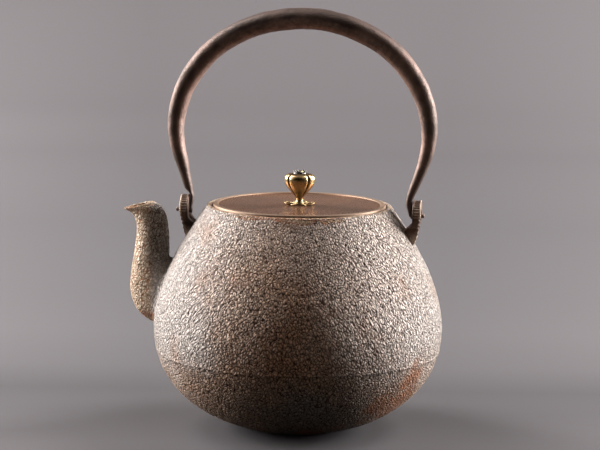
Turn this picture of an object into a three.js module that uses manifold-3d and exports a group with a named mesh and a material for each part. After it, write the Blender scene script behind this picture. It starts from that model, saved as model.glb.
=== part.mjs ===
// A cast iron water kettle with a bronze lid, a brass bud knob and a forged bail handle.
// Millimetres, +Z up. The origin is the middle of the flat base, the spout points to -X,
// and the bail stands upright in the XZ plane, turning about the line through both ears.
import * as THREE from "three";
import { mergeVertices } from "three/addons/utils/BufferGeometryUtils.js";
import Module from "manifold-3d";

const wasm = await Module();
wasm.setup();

// Clearances
const CAST_GAP = 0.3; // between the shell and what is cast onto it
const LID_CLEARANCE = 0.5; // around the lid in its recess, on the radius
const COLLAR_CLEARANCE = 1.0; // around the lid's collar in the throat, on the radius
const PEG_CLEARANCE = 0.45; // around each peg in its ear, on the radius
const STEM_CLEARANCE = 0.25; // around the knob's stem in its holes, on the radius
const EAR_CLEARANCE = 0.35; // between the bail's leg and the ear's inner face

// Kettle shell
const BASE_RADIUS = 26;
const BASE_HANDLE_OUT = 40.7; // curve handle leaving the base's edge
const BASE_HANDLE_UP = 9.4;
const BELLY_RADIUS = 80.3;
const BELLY_HEIGHT = 57;
const BELLY_HANDLE_DOWN = 23.9;
const BELLY_HANDLE_UP = 24.8;
const LIP_RADIUS = 51.6; // where the shoulder meets the mouth's land
const LIP_HEIGHT = 123.6;
const LIP_HANDLE_OUT = 10.7; // curve handle at the lip
const LIP_HANDLE_DOWN = 16.1;
const SHELL_WALL = 3.2;
const LAND_RISE = 0.8; // from the lip up to the mouth's flat land
const LAND_ROUND = 0.9; // width of the rounding outside the land
const SEAM_HEIGHT = 43.8; // height of the mould seam round the belly
const SEAM_RISE = 0.45;
const SEAM_HALF_WIDTH = 1.1;

// Lid
const LID_RADIUS = 48.1;
const LID_PLATE_THICKNESS = 2.5;
const LID_RIM_RISE = 0.7; // the raised rim above the plate
const LID_RIM_WIDTH = 3.3;
const LID_PROUD = 1.0; // how far the rim's top stands above the mouth's land
const COLLAR_WALL = 2.0;
const COLLAR_DEPTH = 9;
const LEDGE_WIDTH = 3.6; // of the ledge that carries the lid
const LEDGE_THICKNESS = 3.4;

// Knob and what holds it
const STEM_RADIUS = 1.2;
const SEAT_RADIUS = 8.7; // to the outside of a petal
const SEAT_THICKNESS = 1.1;
const SEAT_HUB_RADIUS = 3.0;
const SEAT_PETALS = 4;
const PETAL_RADIUS = 3.3;
const PETAL_HOLE_RADIUS = 1.9;
const BUD_LOBES = 4;
const BUD_RADIUS = 8.5;
const BUD_FOOT_RADIUS = 2.4;
const BUD_NECK_RADIUS = 1.6 + STEM_CLEARANCE;
const BUD_FOOT_HEIGHT = 3.0; // from the seat up to the neck
const BUD_HEIGHT = 16.4; // from the seat up to the bud's top
const BUD_TOP_RADIUS = 5.6;
const LOBE_DEPTH = 0.09; // of each groove, as a share of the bud's radius
const CALYX_RADIUS = 3.7;
const CALYX_THICKNESS = 0.9;
const CALYX_STAMENS = 7;
const STAMEN_RADIUS = 0.75;
const STAMEN_HEIGHT = 1.9;
const WASHER_RADIUS = 7;
const WASHER_THICKNESS = 1.2;
const RIVET_RADIUS = 2.8;
const RIVET_HEIGHT = 1.5;

// Ears. Their heights are counted from the bail's axis, which lies below the lip.
const EAR_SHIFT = 0.9; // of both ears and the bail towards +X from the mouth's middle
const PEG_BELOW_LIP = 3.2; // from the lip down to the bail's axis
const EAR_STANDOFF = 10.75; // from the lip's edge out to an ear's inner face
const EAR_THICKNESS = 4.7; // at the top
const EAR_LEAN = 3.5; // how far the outer face has come in where it meets the shell
const EAR_LEAN_DROP = 15; // and how far that is below the bail's axis
const EAR_HEAD_RADIUS = 8.6;
const EAR_FOOT_DROP = 19.4; // down to the foot's end, inside the wall's line
const EAR_FOOT_HALF_WIDTH = 5.2;
const EAR_FLARE_DROP = 4.2; // down to where the inner face turns in towards the shell
const EAR_FLARE_REACH = 3.4;
const EAR_FLARE_HEIGHT = 2.7;
const EAR_CHAMFER = 1.2; // along the top of the outer face
const EAR_RIBS = 17;
const RIB_DEPTH = 0.5;
const RIB_SPAN = THREE.MathUtils.degToRad(200); // of the ribbed part of the head's rim

// Bail. Its heights are counted from its own axis.
const BAIL_RISE = 107.5; // up to its centreline at the top
const BAIL_SPREAD = 8.05; // of its widest centreline beyond an ear's inner face
const BAIL_SPREAD_RISE = 45.6; // up to its widest place
const BAIL_TOP_HANDLE = 43; // curve handles of the arch
const BAIL_SIDE_HANDLE = 31;
const LEG_HANDLE_TOP = 15.5; // curve handles of the leg below the widest place
const LEG_HANDLE_FOOT = 9;
const LEG_FOOT_LEAN = 2.1; // how far the leg's foot handle leans outwards
const LEG_FOOT_GAP = 0.4; // from an ear's top down to where the leg's heel begins
const HEEL_DROP = 0.8; // how far the heel runs below the axis
const HEEL_STRAIGHT = 0.25; // the share of the heel that keeps the leg's thickness
const HEEL_HALF_THICKNESS = 0.4; // at its end
const HEEL_HALF_WIDTH = 2.2;
const LEG_HALF_THICKNESS = 1.9; // where the leg runs beside its ear
const SIDE_HALF_THICKNESS = 4.45;
const APEX_HALF_THICKNESS = 5.85;
const LEG_HALF_WIDTH = 2.9; // fore and aft
const SIDE_HALF_WIDTH = 6.2;
const APEX_HALF_WIDTH = 7.8;
const PEG_RADIUS = 1.9;
const PEG_ROOT = 1.45; // of the peg's end inside the leg, from the ear's inner face
const PEG_TIP_RADIUS = 1.2;
const PEG_TIP_REACH = 2.2; // beyond the ear's outer face
const PEG_TIP_TAPER = 1.5;

// Spout. Each station is a section across the spout, given as [outer x, outer z, inner x,
// inner z, half width]. The inner edge faces the kettle. Distances across are shares of the
// belly's radius and heights are shares of the lip's height, so the spout follows the shell.
const SPOUT_WALL = 2.6;
const SPOUT_STATIONS = [
  [0.959, 0.449, 0.747, 0.615, 0.162],
  [1.049, 0.4644, 0.7908, 0.6634, 0.1644],
  [1.1382, 0.517, 0.8281, 0.7039, 0.1569],
  [1.1818, 0.6036, 0.8717, 0.733, 0.1407],
  [1.1756, 0.6837, 0.9041, 0.7557, 0.1258],
  [1.1532, 0.7807, 0.9103, 0.8083, 0.1121],
  [1.1382, 0.8625, 0.9141, 0.8754, 0.1021],
  [1.1432, 0.9159, 0.9315, 0.9434, 0.0971],
  [1.1756, 0.9498, 0.9689, 0.9854, 0.0934],
  [1.2279, 0.9684, 1.0187, 1.004, 0.0859],
];

// Facets
const SHELL_FACETS = 64;
const LID_FACETS = 64;
const KNOB_FACETS = 48;
const SMALL_FACETS = 20;
const CURVE_STEPS = 12;
const SPOUT_FACETS = 20;
const BAIL_FACETS = 14;
const ARCH_STEPS = 14;
const LEG_STEPS = 8;
const HEEL_STEPS = 5;

// Heights that follow from the sizes above
const LAND_HEIGHT = LIP_HEIGHT + LAND_RISE;
const LID_TOP = LAND_HEIGHT + LID_PROUD;
const PLATE_TOP = LID_TOP - LID_RIM_RISE;
const PLATE_UNDERSIDE = PLATE_TOP - LID_PLATE_THICKNESS;
const LEDGE_TOP = PLATE_UNDERSIDE - CAST_GAP;
const RECESS_RADIUS = LID_RADIUS + LID_CLEARANCE;
const THROAT_RADIUS = RECESS_RADIUS - LEDGE_WIDTH;
const COLLAR_RADIUS = THROAT_RADIUS - COLLAR_CLEARANCE;
const SEAT_TOP = PLATE_TOP + SEAT_THICKNESS;
const BUD_TOP = SEAT_TOP + BUD_HEIGHT;
const STEM_HOLE_RADIUS = STEM_RADIUS + STEM_CLEARANCE;
const PEG_HEIGHT = LIP_HEIGHT - PEG_BELOW_LIP;
const EAR_INNER_FACE = LIP_RADIUS + EAR_STANDOFF;
const EAR_OUTER_FACE = EAR_INNER_FACE + EAR_THICKNESS;
const EAR_FOOT_HEIGHT = PEG_HEIGHT - EAR_FOOT_DROP;
const LEG_OUTER_FACE = EAR_INNER_FACE - EAR_CLEARANCE;
const LEG_FOOT_RISE = EAR_HEAD_RADIUS - LEG_FOOT_GAP;
const BAIL_APEX = PEG_HEIGHT + BAIL_RISE;
const BAIL_REACH = EAR_INNER_FACE + BAIL_SPREAD;
const BAIL_REACH_HEIGHT = PEG_HEIGHT + BAIL_SPREAD_RISE;
const EAR_HOLE_RADIUS = PEG_RADIUS + PEG_CLEARANCE;

const iron = (color, roughness) =>
  new THREE.MeshStandardMaterial({ color, roughness, metalness: 0.6 });
const FINISHES = {
  castIron: iron(0xa89a8c, 0.7),
  forgedIron: iron(0x3a2a26, 0.45),
  bronze: new THREE.MeshStandardMaterial({ color: 0x7b6354, roughness: 0.5, metalness: 0.7 }),
  brass: new THREE.MeshStandardMaterial({ color: 0xb88a45, roughness: 0.25, metalness: 1 }),
  silver: new THREE.MeshStandardMaterial({ color: 0x9a9690, roughness: 0.3, metalness: 1 }),
};

const kettle = new THREE.Group();

// Adds a named mesh to the kettle, from a geometry or a solid.
function add(name, shape, finish) {
  const geometry = shape.isBufferGeometry ? shape : geometryOf(shape);
  const mesh = new THREE.Mesh(geometry, finish);
  mesh.name = name;
  kettle.add(mesh);
  return mesh;
}

// A closed geometry as a solid that can be joined and cut.
function solidOf(geometry) {
  const bare = geometry.clone();
  bare.deleteAttribute("normal");
  bare.deleteAttribute("uv");
  const merged = mergeVertices(bare, 1e-4);
  return new wasm.Manifold(
    new wasm.Mesh({
      numProp: 3,
      vertProperties: new Float32Array(merged.attributes.position.array),
      triVerts: new Uint32Array(merged.index.array),
    }),
  );
}

// A solid back as a geometry.
function geometryOf(solid) {
  const mesh = solid.getMesh();
  const geometry = new THREE.BufferGeometry();
  geometry.setAttribute("position", new THREE.BufferAttribute(mesh.vertProperties, 3));
  geometry.setIndex(new THREE.BufferAttribute(mesh.triVerts, 1));
  return geometry;
}

// Turns a profile of [radius, height] points round the Z axis.
function turned(profile, facets) {
  const points = profile.map(([radius, height]) => new THREE.Vector2(radius, height));
  return new THREE.LatheGeometry(points, facets).rotateX(Math.PI / 2);
}

// A ring or disc round the Z axis, between two heights.
function ring(inner, outer, low, high, facets) {
  const profile = [
    [inner, low],
    [outer, low],
    [outer, high],
    [inner, high],
  ];
  return turned([...profile, profile[0]], facets);
}

// A round bar along Z, for cutting holes and for stems.
function bar(radius, low, high, facets) {
  const profile = [
    [0, low],
    [radius, low],
    [radius, high],
    [0, high],
  ];
  return turned(profile, facets);
}

// Points along a cubic curve from a to d, with handle points b and c.
function curvePoints(a, b, c, d, steps) {
  const [p, q, r, s] = [a, b, c, d].map(([x, y]) => new THREE.Vector2(x, y));
  return new THREE.CubicBezierCurve(p, q, r, s).getPoints(steps).map((v) => [v.x, v.y]);
}

// A closed skin over sections that have the same number of points, with flat ends.
function lofted(sections) {
  const count = sections[0].length;
  const points = sections.flat();
  const faces = [];
  for (let i = 0; i + 1 < sections.length; i += 1) {
    for (let j = 0; j < count; j += 1) {
      const k = (j + 1) % count;
      const [a, b] = [i * count + j, i * count + k];
      faces.push(a, b, b + count, a, b + count, a + count);
    }
  }
  const last = (sections.length - 1) * count;
  for (let j = 1; j + 1 < count; j += 1) {
    faces.push(0, j + 1, j);
    faces.push(last, last + j, last + j + 1);
  }
  const geometry = new THREE.BufferGeometry();
  const flat = points.flatMap((v) => [v.x, v.y, v.z]);
  geometry.setAttribute("position", new THREE.Float32BufferAttribute(flat, 3));
  geometry.setIndex(faces);
  return geometry;
}

// The shell's outer line from the base's edge up to the lip, as [radius, height].
function outerLine() {
  const base = [BASE_RADIUS, 0];
  const belly = [BELLY_RADIUS, BELLY_HEIGHT];
  const lip = [LIP_RADIUS, LIP_HEIGHT];
  const lower = curvePoints(
    base,
    [BASE_RADIUS + BASE_HANDLE_OUT, BASE_HANDLE_UP],
    [BELLY_RADIUS, BELLY_HEIGHT - BELLY_HANDLE_DOWN],
    belly,
    CURVE_STEPS,
  );
  const upper = curvePoints(
    belly,
    [BELLY_RADIUS, BELLY_HEIGHT + BELLY_HANDLE_UP],
    [LIP_RADIUS + LIP_HANDLE_OUT, LIP_HEIGHT - LIP_HANDLE_DOWN],
    lip,
    CURVE_STEPS,
  );
  return [...lower, ...upper.slice(1)];
}

// A line of [radius, height] points moved sideways, inwards where distance is positive.
function offsetLine(line, distance) {
  return line.map(([radius, height], i) => {
    const before = line[Math.max(i - 1, 0)];
    const after = line[Math.min(i + 1, line.length - 1)];
    const along = new THREE.Vector2(after[0] - before[0], after[1] - before[1]).normalize();
    return [radius - along.y * distance, height + along.x * distance];
  });
}

// The outer line with the low ridge that the mould's joint left round the belly.
function seamedLine(line) {
  const above = line.findIndex(([, height]) => height > SEAM_HEIGHT);
  const [low, high] = [line[above - 1], line[above]];
  const along = new THREE.Vector2(high[0] - low[0], high[1] - low[1]).normalize();
  const share = (SEAM_HEIGHT - low[1]) / (high[1] - low[1]);
  const middle = [low[0] + share * (high[0] - low[0]), SEAM_HEIGHT];
  const beside = (side) => [
    middle[0] + side * SEAM_HALF_WIDTH * along.x,
    middle[1] + side * SEAM_HALF_WIDTH * along.y,
  ];
  const crest = [middle[0] + SEAM_RISE * along.y, middle[1] - SEAM_RISE * along.x];
  return [...line.slice(0, above), beside(-1), crest, beside(1), ...line.slice(above)];
}

// The radius of the shell's outside at a height.
function shellRadius(height) {
  const line = outerLine();
  const above = line.findIndex((point) => point[1] > height);
  const [low, high] = [line[above - 1], line[above]];
  const share = (height - low[1]) / (high[1] - low[1]);
  return low[0] + share * (high[0] - low[0]);
}

// The whole space inside the shell's outside, grown by the casting gap. It trims what
// is cast onto the shell.
function shellEnvelope() {
  const grown = offsetLine(outerLine(), -CAST_GAP);
  return solidOf(
    turned([[0, -CAST_GAP], ...grown, [LIP_RADIUS, LAND_HEIGHT], [0, LAND_HEIGHT]], SHELL_FACETS),
  );
}

// The kettle's shell: one wall from the base to the mouth, with a recess for the lid.
function kettleShell() {
  const line = outerLine();
  const throatEnd = LEDGE_TOP - LEDGE_THICKNESS;
  const inner = offsetLine(line, SHELL_WALL).filter(
    ([, height], i) => i % 2 === 0 && height < throatEnd - 3,
  );
  const profile = [
    [0, 0],
    ...seamedLine(line),
    [LIP_RADIUS - LAND_ROUND * 0.3, LIP_HEIGHT + LAND_RISE * 0.7],
    [LIP_RADIUS - LAND_ROUND, LAND_HEIGHT],
    [RECESS_RADIUS, LAND_HEIGHT],
    [RECESS_RADIUS, LEDGE_TOP],
    [THROAT_RADIUS, LEDGE_TOP],
    [THROAT_RADIUS, throatEnd],
    ...inner.reverse(),
    [0, SHELL_WALL],
  ];
  return solidOf(turned(profile, SHELL_FACETS)).subtract(spoutTube(SPOUT_WALL));
}

// The spout's outside, or its bore where a wall is taken off all round.
function spoutTube(wall) {
  const sections = SPOUT_STATIONS.map(([outX, outZ, inX, inZ, width], index) => {
    const start = new THREE.Vector2(-outX * BELLY_RADIUS, outZ * LIP_HEIGHT);
    const end = new THREE.Vector2(-inX * BELLY_RADIUS, inZ * LIP_HEIGHT);
    const half = width * BELLY_RADIUS;
    const middle = start.clone().add(end).multiplyScalar(0.5);
    const across = end.clone().sub(start);
    const reach = across.length() / 2 - wall;
    across.normalize();
    const forward = new THREE.Vector2(-across.y, across.x);
    const isEnd = index === 0 || index === SPOUT_STATIONS.length - 1;
    const beyond = wall > 0 && isEnd ? (index === 0 ? -1 : 1) * wall : 0;
    middle.addScaledVector(forward, beyond);
    return Array.from({ length: SPOUT_FACETS }, (_, j) => {
      const angle = (2 * Math.PI * j) / SPOUT_FACETS;
      const shift = Math.cos(angle) * reach;
      return new THREE.Vector3(
        middle.x + across.x * shift,
        Math.sin(angle) * (half - wall),
        middle.y + across.y * shift,
      );
    });
  });
  return facingOut(lofted(sections));
}

// A lofted skin as a solid with its faces pointing out.
function facingOut(geometry) {
  const solid = solidOf(geometry);
  if (solid.volume() > 0) return solid;
  const turnedRound = geometry.clone();
  const index = [...geometry.index.array];
  for (let i = 0; i < index.length; i += 3) {
    [index[i + 1], index[i + 2]] = [index[i + 2], index[i + 1]];
  }
  turnedRound.setIndex(index);
  return solidOf(turnedRound);
}

// The spout: a swelling root on the shell, a neck and a short beak.
function spout(envelope) {
  return spoutTube(0).subtract(envelope).subtract(spoutTube(SPOUT_WALL));
}

// The outline of an ear across the kettle, as [y, z] round the peg: a ribbed round head
// whose sides run down to a narrower foot.
function earOutline() {
  const points = [];
  const start = Math.PI / 2 - RIB_SPAN / 2;
  const steps = EAR_RIBS * 4;
  for (let i = 0; i <= steps; i += 1) {
    const angle = start + (RIB_SPAN * i) / steps;
    const groove = i % 4 === 0 ? RIB_DEPTH : 0;
    const radius = EAR_HEAD_RADIUS - groove;
    points.push([radius * Math.cos(angle), PEG_HEIGHT + radius * Math.sin(angle)]);
  }
  points.push([-EAR_FOOT_HALF_WIDTH, EAR_FOOT_HEIGHT]);
  points.push([EAR_FOOT_HALF_WIDTH, EAR_FOOT_HEIGHT]);
  return points;
}

// The outline of an ear seen from the front, as [x, z] on the +X side: an outer face that
// leans in towards its foot, and an inner face that turns in to meet the shell.
function earSide() {
  const top = PEG_HEIGHT + EAR_HEAD_RADIUS + 1;
  const flareTop = PEG_HEIGHT - EAR_FLARE_DROP;
  const buried = shellRadius(EAR_FOOT_HEIGHT) - 8;
  const leanFoot = [EAR_OUTER_FACE - EAR_LEAN, PEG_HEIGHT - EAR_LEAN_DROP];
  const outer = curvePoints(
    leanFoot,
    [EAR_OUTER_FACE - 0.45 * EAR_LEAN, PEG_HEIGHT - 0.75 * EAR_LEAN_DROP],
    [EAR_OUTER_FACE - 0.35 * EAR_LEAN, PEG_HEIGHT - 0.4 * EAR_LEAN_DROP],
    [EAR_OUTER_FACE, PEG_HEIGHT],
    4,
  );
  return [
    [buried, EAR_FOOT_HEIGHT - 1],
    [EAR_OUTER_FACE - 1.6 * EAR_LEAN, EAR_FOOT_HEIGHT - 1],
    ...outer,
    [EAR_OUTER_FACE, top - 1 - EAR_CHAMFER],
    [EAR_OUTER_FACE - EAR_CHAMFER, top],
    [EAR_INNER_FACE, top],
    [EAR_INNER_FACE, flareTop],
    [EAR_INNER_FACE - EAR_FLARE_REACH, flareTop - EAR_FLARE_HEIGHT],
    [buried, flareTop - 1.6 * EAR_FLARE_HEIGHT],
  ];
}

// One ear, side +1 for the far one and -1 for the one on the spout's side: a ribbed plate
// with the peg's hole, cut off where the shell begins.
function ear(envelope, side) {
  const outline = new THREE.Shape(earOutline().map(([y, z]) => new THREE.Vector2(y, z)));
  const depth = 2 * EAR_THICKNESS + EAR_INNER_FACE;
  const plate = new THREE.ExtrudeGeometry(outline, { depth, bevelEnabled: false });
  // Shape x, y and extrusion become Y, Z and X.
  plate.applyMatrix4(new THREE.Matrix4().set(0, 0, 1, 0, 1, 0, 0, 0, 0, 1, 0, 0, 0, 0, 0, 1));
  const width = 2 * EAR_HEAD_RADIUS + 2;
  const profile = new THREE.Shape(earSide().map(([x, z]) => new THREE.Vector2(x, z)));
  const wedge = new THREE.ExtrudeGeometry(profile, { depth: width, bevelEnabled: false });
  wedge.rotateX(Math.PI / 2).translate(0, width / 2, 0);
  const hole = bar(EAR_HOLE_RADIUS, 0, depth * 2, SMALL_FACETS)
    .rotateY(Math.PI / 2)
    .translate(0, 0, PEG_HEIGHT);
  const whole = facingOut(plate).intersect(facingOut(wedge)).subtract(facingOut(hole));
  const placed = side > 0 ? whole : whole.mirror([1, 0, 0]);
  return placed.translate([EAR_SHIFT, 0, 0]).subtract(envelope);
}

// The stations of the bail's arch from the top down to its widest place. A station is
// {x, z, thick, wide, outX, outZ}: a centre, half sizes and the direction pointing out.
function archStations() {
  const curve = new THREE.CubicBezierCurve(
    new THREE.Vector2(0, BAIL_APEX),
    new THREE.Vector2(BAIL_TOP_HANDLE, BAIL_APEX),
    new THREE.Vector2(BAIL_REACH, BAIL_REACH_HEIGHT + BAIL_SIDE_HANDLE),
    new THREE.Vector2(BAIL_REACH, BAIL_REACH_HEIGHT),
  );
  return Array.from({ length: ARCH_STEPS }, (_, i) => {
    const share = i / ARCH_STEPS;
    const thick = THREE.MathUtils.lerp(APEX_HALF_THICKNESS, SIDE_HALF_THICKNESS, share ** 3);
    const eased = THREE.MathUtils.smoothstep(share, 0, 1);
    const wide = THREE.MathUtils.lerp(APEX_HALF_WIDTH, SIDE_HALF_WIDTH, eased);
    return stationOn(curve, share, thick, wide);
  });
}

// The stations of a leg from the bail's widest place down to its heel.
function legStations() {
  const legX = LEG_OUTER_FACE - LEG_HALF_THICKNESS;
  const foot = PEG_HEIGHT + LEG_FOOT_RISE;
  const curve = new THREE.CubicBezierCurve(
    new THREE.Vector2(BAIL_REACH, BAIL_REACH_HEIGHT),
    new THREE.Vector2(BAIL_REACH, BAIL_REACH_HEIGHT - LEG_HANDLE_TOP),
    new THREE.Vector2(legX + LEG_FOOT_LEAN, foot + LEG_HANDLE_FOOT),
    new THREE.Vector2(legX, foot),
  );
  return Array.from({ length: LEG_STEPS }, (_, i) => {
    const share = i / LEG_STEPS;
    const thick = THREE.MathUtils.lerp(SIDE_HALF_THICKNESS, LEG_HALF_THICKNESS, share);
    const wide = THREE.MathUtils.lerp(SIDE_HALF_WIDTH, LEG_HALF_WIDTH, share);
    return stationOn(curve, share, thick, wide);
  });
}

// The stations of the heel, which thins towards its outer face as it reaches the peg.
function heelStations() {
  const height = LEG_FOOT_RISE + HEEL_DROP;
  return Array.from({ length: HEEL_STEPS + 1 }, (_, i) => {
    const share = i / HEEL_STEPS;
    const thinned = Math.max(0, share - HEEL_STRAIGHT) / (1 - HEEL_STRAIGHT);
    const thick = THREE.MathUtils.lerp(LEG_HALF_THICKNESS, HEEL_HALF_THICKNESS, thinned);
    const wide = THREE.MathUtils.lerp(LEG_HALF_WIDTH, HEEL_HALF_WIDTH, share);
    const z = PEG_HEIGHT + LEG_FOOT_RISE - share * height;
    return { x: LEG_OUTER_FACE - thick, z, thick, wide, outX: 1, outZ: 0 };
  });
}

// A station at a share of a curve.
function stationOn(curve, share, thick, wide) {
  const point = curve.getPoint(share);
  const tangent = curve.getTangent(share);
  return { x: point.x, z: point.y, thick, wide, outX: -tangent.y, outZ: tangent.x };
}

// The bail: a forged bow whose legs end in pegs that turn outwards through the ears.
function bail() {
  const half = [...archStations(), ...legStations(), ...heelStations()];
  const mirrored = half.slice(1).map((one) => ({ ...one, x: -one.x, outX: -one.outX }));
  const sections = [...mirrored.reverse(), ...half].map(({ x, z, thick, wide, outX, outZ }) =>
    Array.from({ length: BAIL_FACETS }, (_, j) => {
      const angle = (2 * Math.PI * (j + 0.5)) / BAIL_FACETS;
      const outwards = Math.cos(angle) * thick;
      return new THREE.Vector3(x + outX * outwards, Math.sin(angle) * wide, z + outZ * outwards);
    }),
  );
  const bow = facingOut(lofted(sections));
  const pegs = [-1, 1].map((side) => {
    const profile = [
      [0, EAR_INNER_FACE - PEG_ROOT],
      [PEG_RADIUS, EAR_INNER_FACE - PEG_ROOT],
      [PEG_RADIUS, EAR_OUTER_FACE - PEG_TIP_TAPER],
      [PEG_TIP_RADIUS, EAR_OUTER_FACE],
      [PEG_TIP_RADIUS, EAR_OUTER_FACE + PEG_TIP_REACH],
      [0, EAR_OUTER_FACE + PEG_TIP_REACH],
    ];
    const peg = turned(profile, SMALL_FACETS).rotateY((side * Math.PI) / 2);
    return facingOut(peg.translate(0, 0, PEG_HEIGHT));
  });
  return pegs.reduce((joined, peg) => joined.add(peg), bow).translate([EAR_SHIFT, 0, 0]);
}

// The lid's plate, with its raised rim and the hole for the stem.
function lidPlate() {
  const rimInner = LID_RADIUS - LID_RIM_WIDTH;
  const profile = [
    [STEM_HOLE_RADIUS, PLATE_UNDERSIDE],
    [LID_RADIUS - 0.6, PLATE_UNDERSIDE],
    [LID_RADIUS, PLATE_UNDERSIDE + 0.6],
    [LID_RADIUS, LID_TOP - 0.4],
    [LID_RADIUS - 0.5, LID_TOP],
    [rimInner + 0.5, LID_TOP],
    [rimInner, PLATE_TOP],
    [STEM_HOLE_RADIUS, PLATE_TOP],
  ];
  return turned([...profile, profile[0]], LID_FACETS);
}

// The collar under the lid, which keeps it central in the throat.
function lidCollar() {
  const low = PLATE_UNDERSIDE - COLLAR_DEPTH;
  return ring(COLLAR_RADIUS - COLLAR_WALL, COLLAR_RADIUS, low, PLATE_UNDERSIDE, LID_FACETS);
}

// The openwork seat under the knob: a hub with open petals round it.
function knobSeat() {
  let seat = solidOf(bar(SEAT_HUB_RADIUS, PLATE_TOP, SEAT_TOP, SMALL_FACETS));
  const centre = SEAT_RADIUS - PETAL_RADIUS;
  for (let i = 0; i < SEAT_PETALS; i += 1) {
    const angle = (2 * Math.PI * i) / SEAT_PETALS;
    const petal = ring(PETAL_HOLE_RADIUS, PETAL_RADIUS, PLATE_TOP, SEAT_TOP, SMALL_FACETS);
    petal.translate(centre * Math.cos(angle), centre * Math.sin(angle), 0);
    seat = seat.add(solidOf(petal));
  }
  return seat.subtract(solidOf(bar(STEM_HOLE_RADIUS, PLATE_TOP - 1, SEAT_TOP + 1, SMALL_FACETS)));
}

// The bud: a turned form whose side is drawn in between its lobes, bored for the stem.
function knobBud() {
  const shoulder = SEAT_TOP + 0.81 * BUD_HEIGHT;
  const neck = [BUD_NECK_RADIUS, SEAT_TOP + BUD_FOOT_HEIGHT];
  const foot = [BUD_FOOT_RADIUS, SEAT_TOP];
  const side = curvePoints(
    neck,
    [BUD_NECK_RADIUS * 2.3, SEAT_TOP + 0.34 * BUD_HEIGHT],
    [BUD_RADIUS, SEAT_TOP + 0.575 * BUD_HEIGHT],
    [BUD_RADIUS, shoulder],
    8,
  );
  const crown = curvePoints(
    [BUD_RADIUS, shoulder],
    [BUD_RADIUS, BUD_TOP - 0.08 * BUD_HEIGHT],
    [BUD_TOP_RADIUS * 1.25, BUD_TOP - 0.01 * BUD_HEIGHT],
    [BUD_TOP_RADIUS, BUD_TOP],
    4,
  );
  const profile = [[0, SEAT_TOP], foot, ...side, ...crown.slice(1), [0, BUD_TOP]];
  const bud = turned(profile, KNOB_FACETS);
  const position = bud.attributes.position;
  for (let i = 0; i < position.count; i += 1) {
    const [x, y, z] = [position.getX(i), position.getY(i), position.getZ(i)];
    const angle = Math.atan2(y, x);
    const lobe = Math.abs(Math.cos((BUD_LOBES * angle) / 2));
    const high = THREE.MathUtils.smoothstep(z, SEAT_TOP + BUD_FOOT_HEIGHT, shoulder);
    const drawIn = 1 - LOBE_DEPTH * (1 - Math.sqrt(lobe)) * high;
    position.setXY(i, x * drawIn, y * drawIn);
  }
  return solidOf(bud).subtract(
    solidOf(bar(STEM_HOLE_RADIUS, SEAT_TOP - 1, BUD_TOP + 1, SMALL_FACETS)),
  );
}

// The calyx on top of the bud: a thin disc with a ring of stamens.
function knobCalyx() {
  const top = BUD_TOP + CALYX_THICKNESS;
  let calyx = solidOf(bar(CALYX_RADIUS, BUD_TOP, top, SMALL_FACETS));
  for (let i = 0; i < CALYX_STAMENS; i += 1) {
    const angle = (2 * Math.PI * i) / CALYX_STAMENS;
    const stamen = bar(STAMEN_RADIUS, BUD_TOP + 0.1, BUD_TOP + STAMEN_HEIGHT, 8);
    const reach = CALYX_RADIUS - STAMEN_RADIUS;
    stamen.translate(reach * Math.cos(angle), reach * Math.sin(angle), 0);
    calyx = calyx.add(solidOf(stamen));
  }
  return calyx.subtract(
    solidOf(bar(STEM_HOLE_RADIUS, BUD_TOP - 1, BUD_TOP + 2 * STAMEN_HEIGHT, SMALL_FACETS)),
  );
}

// The stem, from its peened head under the washer up to its rivet end in the calyx.
function knobStem() {
  const washerBottom = PLATE_UNDERSIDE - WASHER_THICKNESS;
  const end = BUD_TOP + CALYX_THICKNESS;
  const profile = [
    [0, washerBottom - RIVET_HEIGHT],
    [RIVET_RADIUS * 0.6, washerBottom - RIVET_HEIGHT],
    [RIVET_RADIUS, washerBottom - RIVET_HEIGHT * 0.5],
    [RIVET_RADIUS, washerBottom],
    [STEM_RADIUS, washerBottom],
    [STEM_RADIUS, end],
    [STEM_RADIUS + 0.7, end],
    [STEM_RADIUS + 0.3, end + 0.6],
    [0, end + 0.8],
  ];
  return turned(profile, SMALL_FACETS);
}

// The washer under the lid, which spreads the stem's pull.
function lidWasher() {
  const low = PLATE_UNDERSIDE - WASHER_THICKNESS;
  return ring(STEM_HOLE_RADIUS, WASHER_RADIUS, low, PLATE_UNDERSIDE, SMALL_FACETS);
}

const envelope = shellEnvelope();

add("kettle_shell", kettleShell(), FINISHES.castIron);
add("spout", spout(envelope), FINISHES.castIron);
add("far_ear", ear(envelope, 1), FINISHES.castIron);
add("spout_side_ear", ear(envelope, -1), FINISHES.castIron);
add("bail_handle", bail(), FINISHES.forgedIron);
add("lid_plate", lidPlate(), FINISHES.bronze);
add("lid_collar", lidCollar(), FINISHES.bronze);
add("knob_seat", knobSeat(), FINISHES.brass);
add("knob_bud", knobBud(), FINISHES.brass);
add("knob_calyx", knobCalyx(), FINISHES.silver);
add("knob_stem", knobStem(), FINISHES.brass);
add("lid_washer", lidWasher(), FINISHES.bronze);

export default kettle;
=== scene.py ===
"""Dresses the cast iron kettle: new skins for its pieces, their finishes, studio and camera.

Sizes are millimetres in the classes and metres in the meshes. +Z is up, the spout points to
-X, and the bail turns about the line through both ears.
"""

import logging
import math
from dataclasses import dataclass
from enum import Enum

import bpy
import numpy as np
from mathutils import Matrix, Vector


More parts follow.
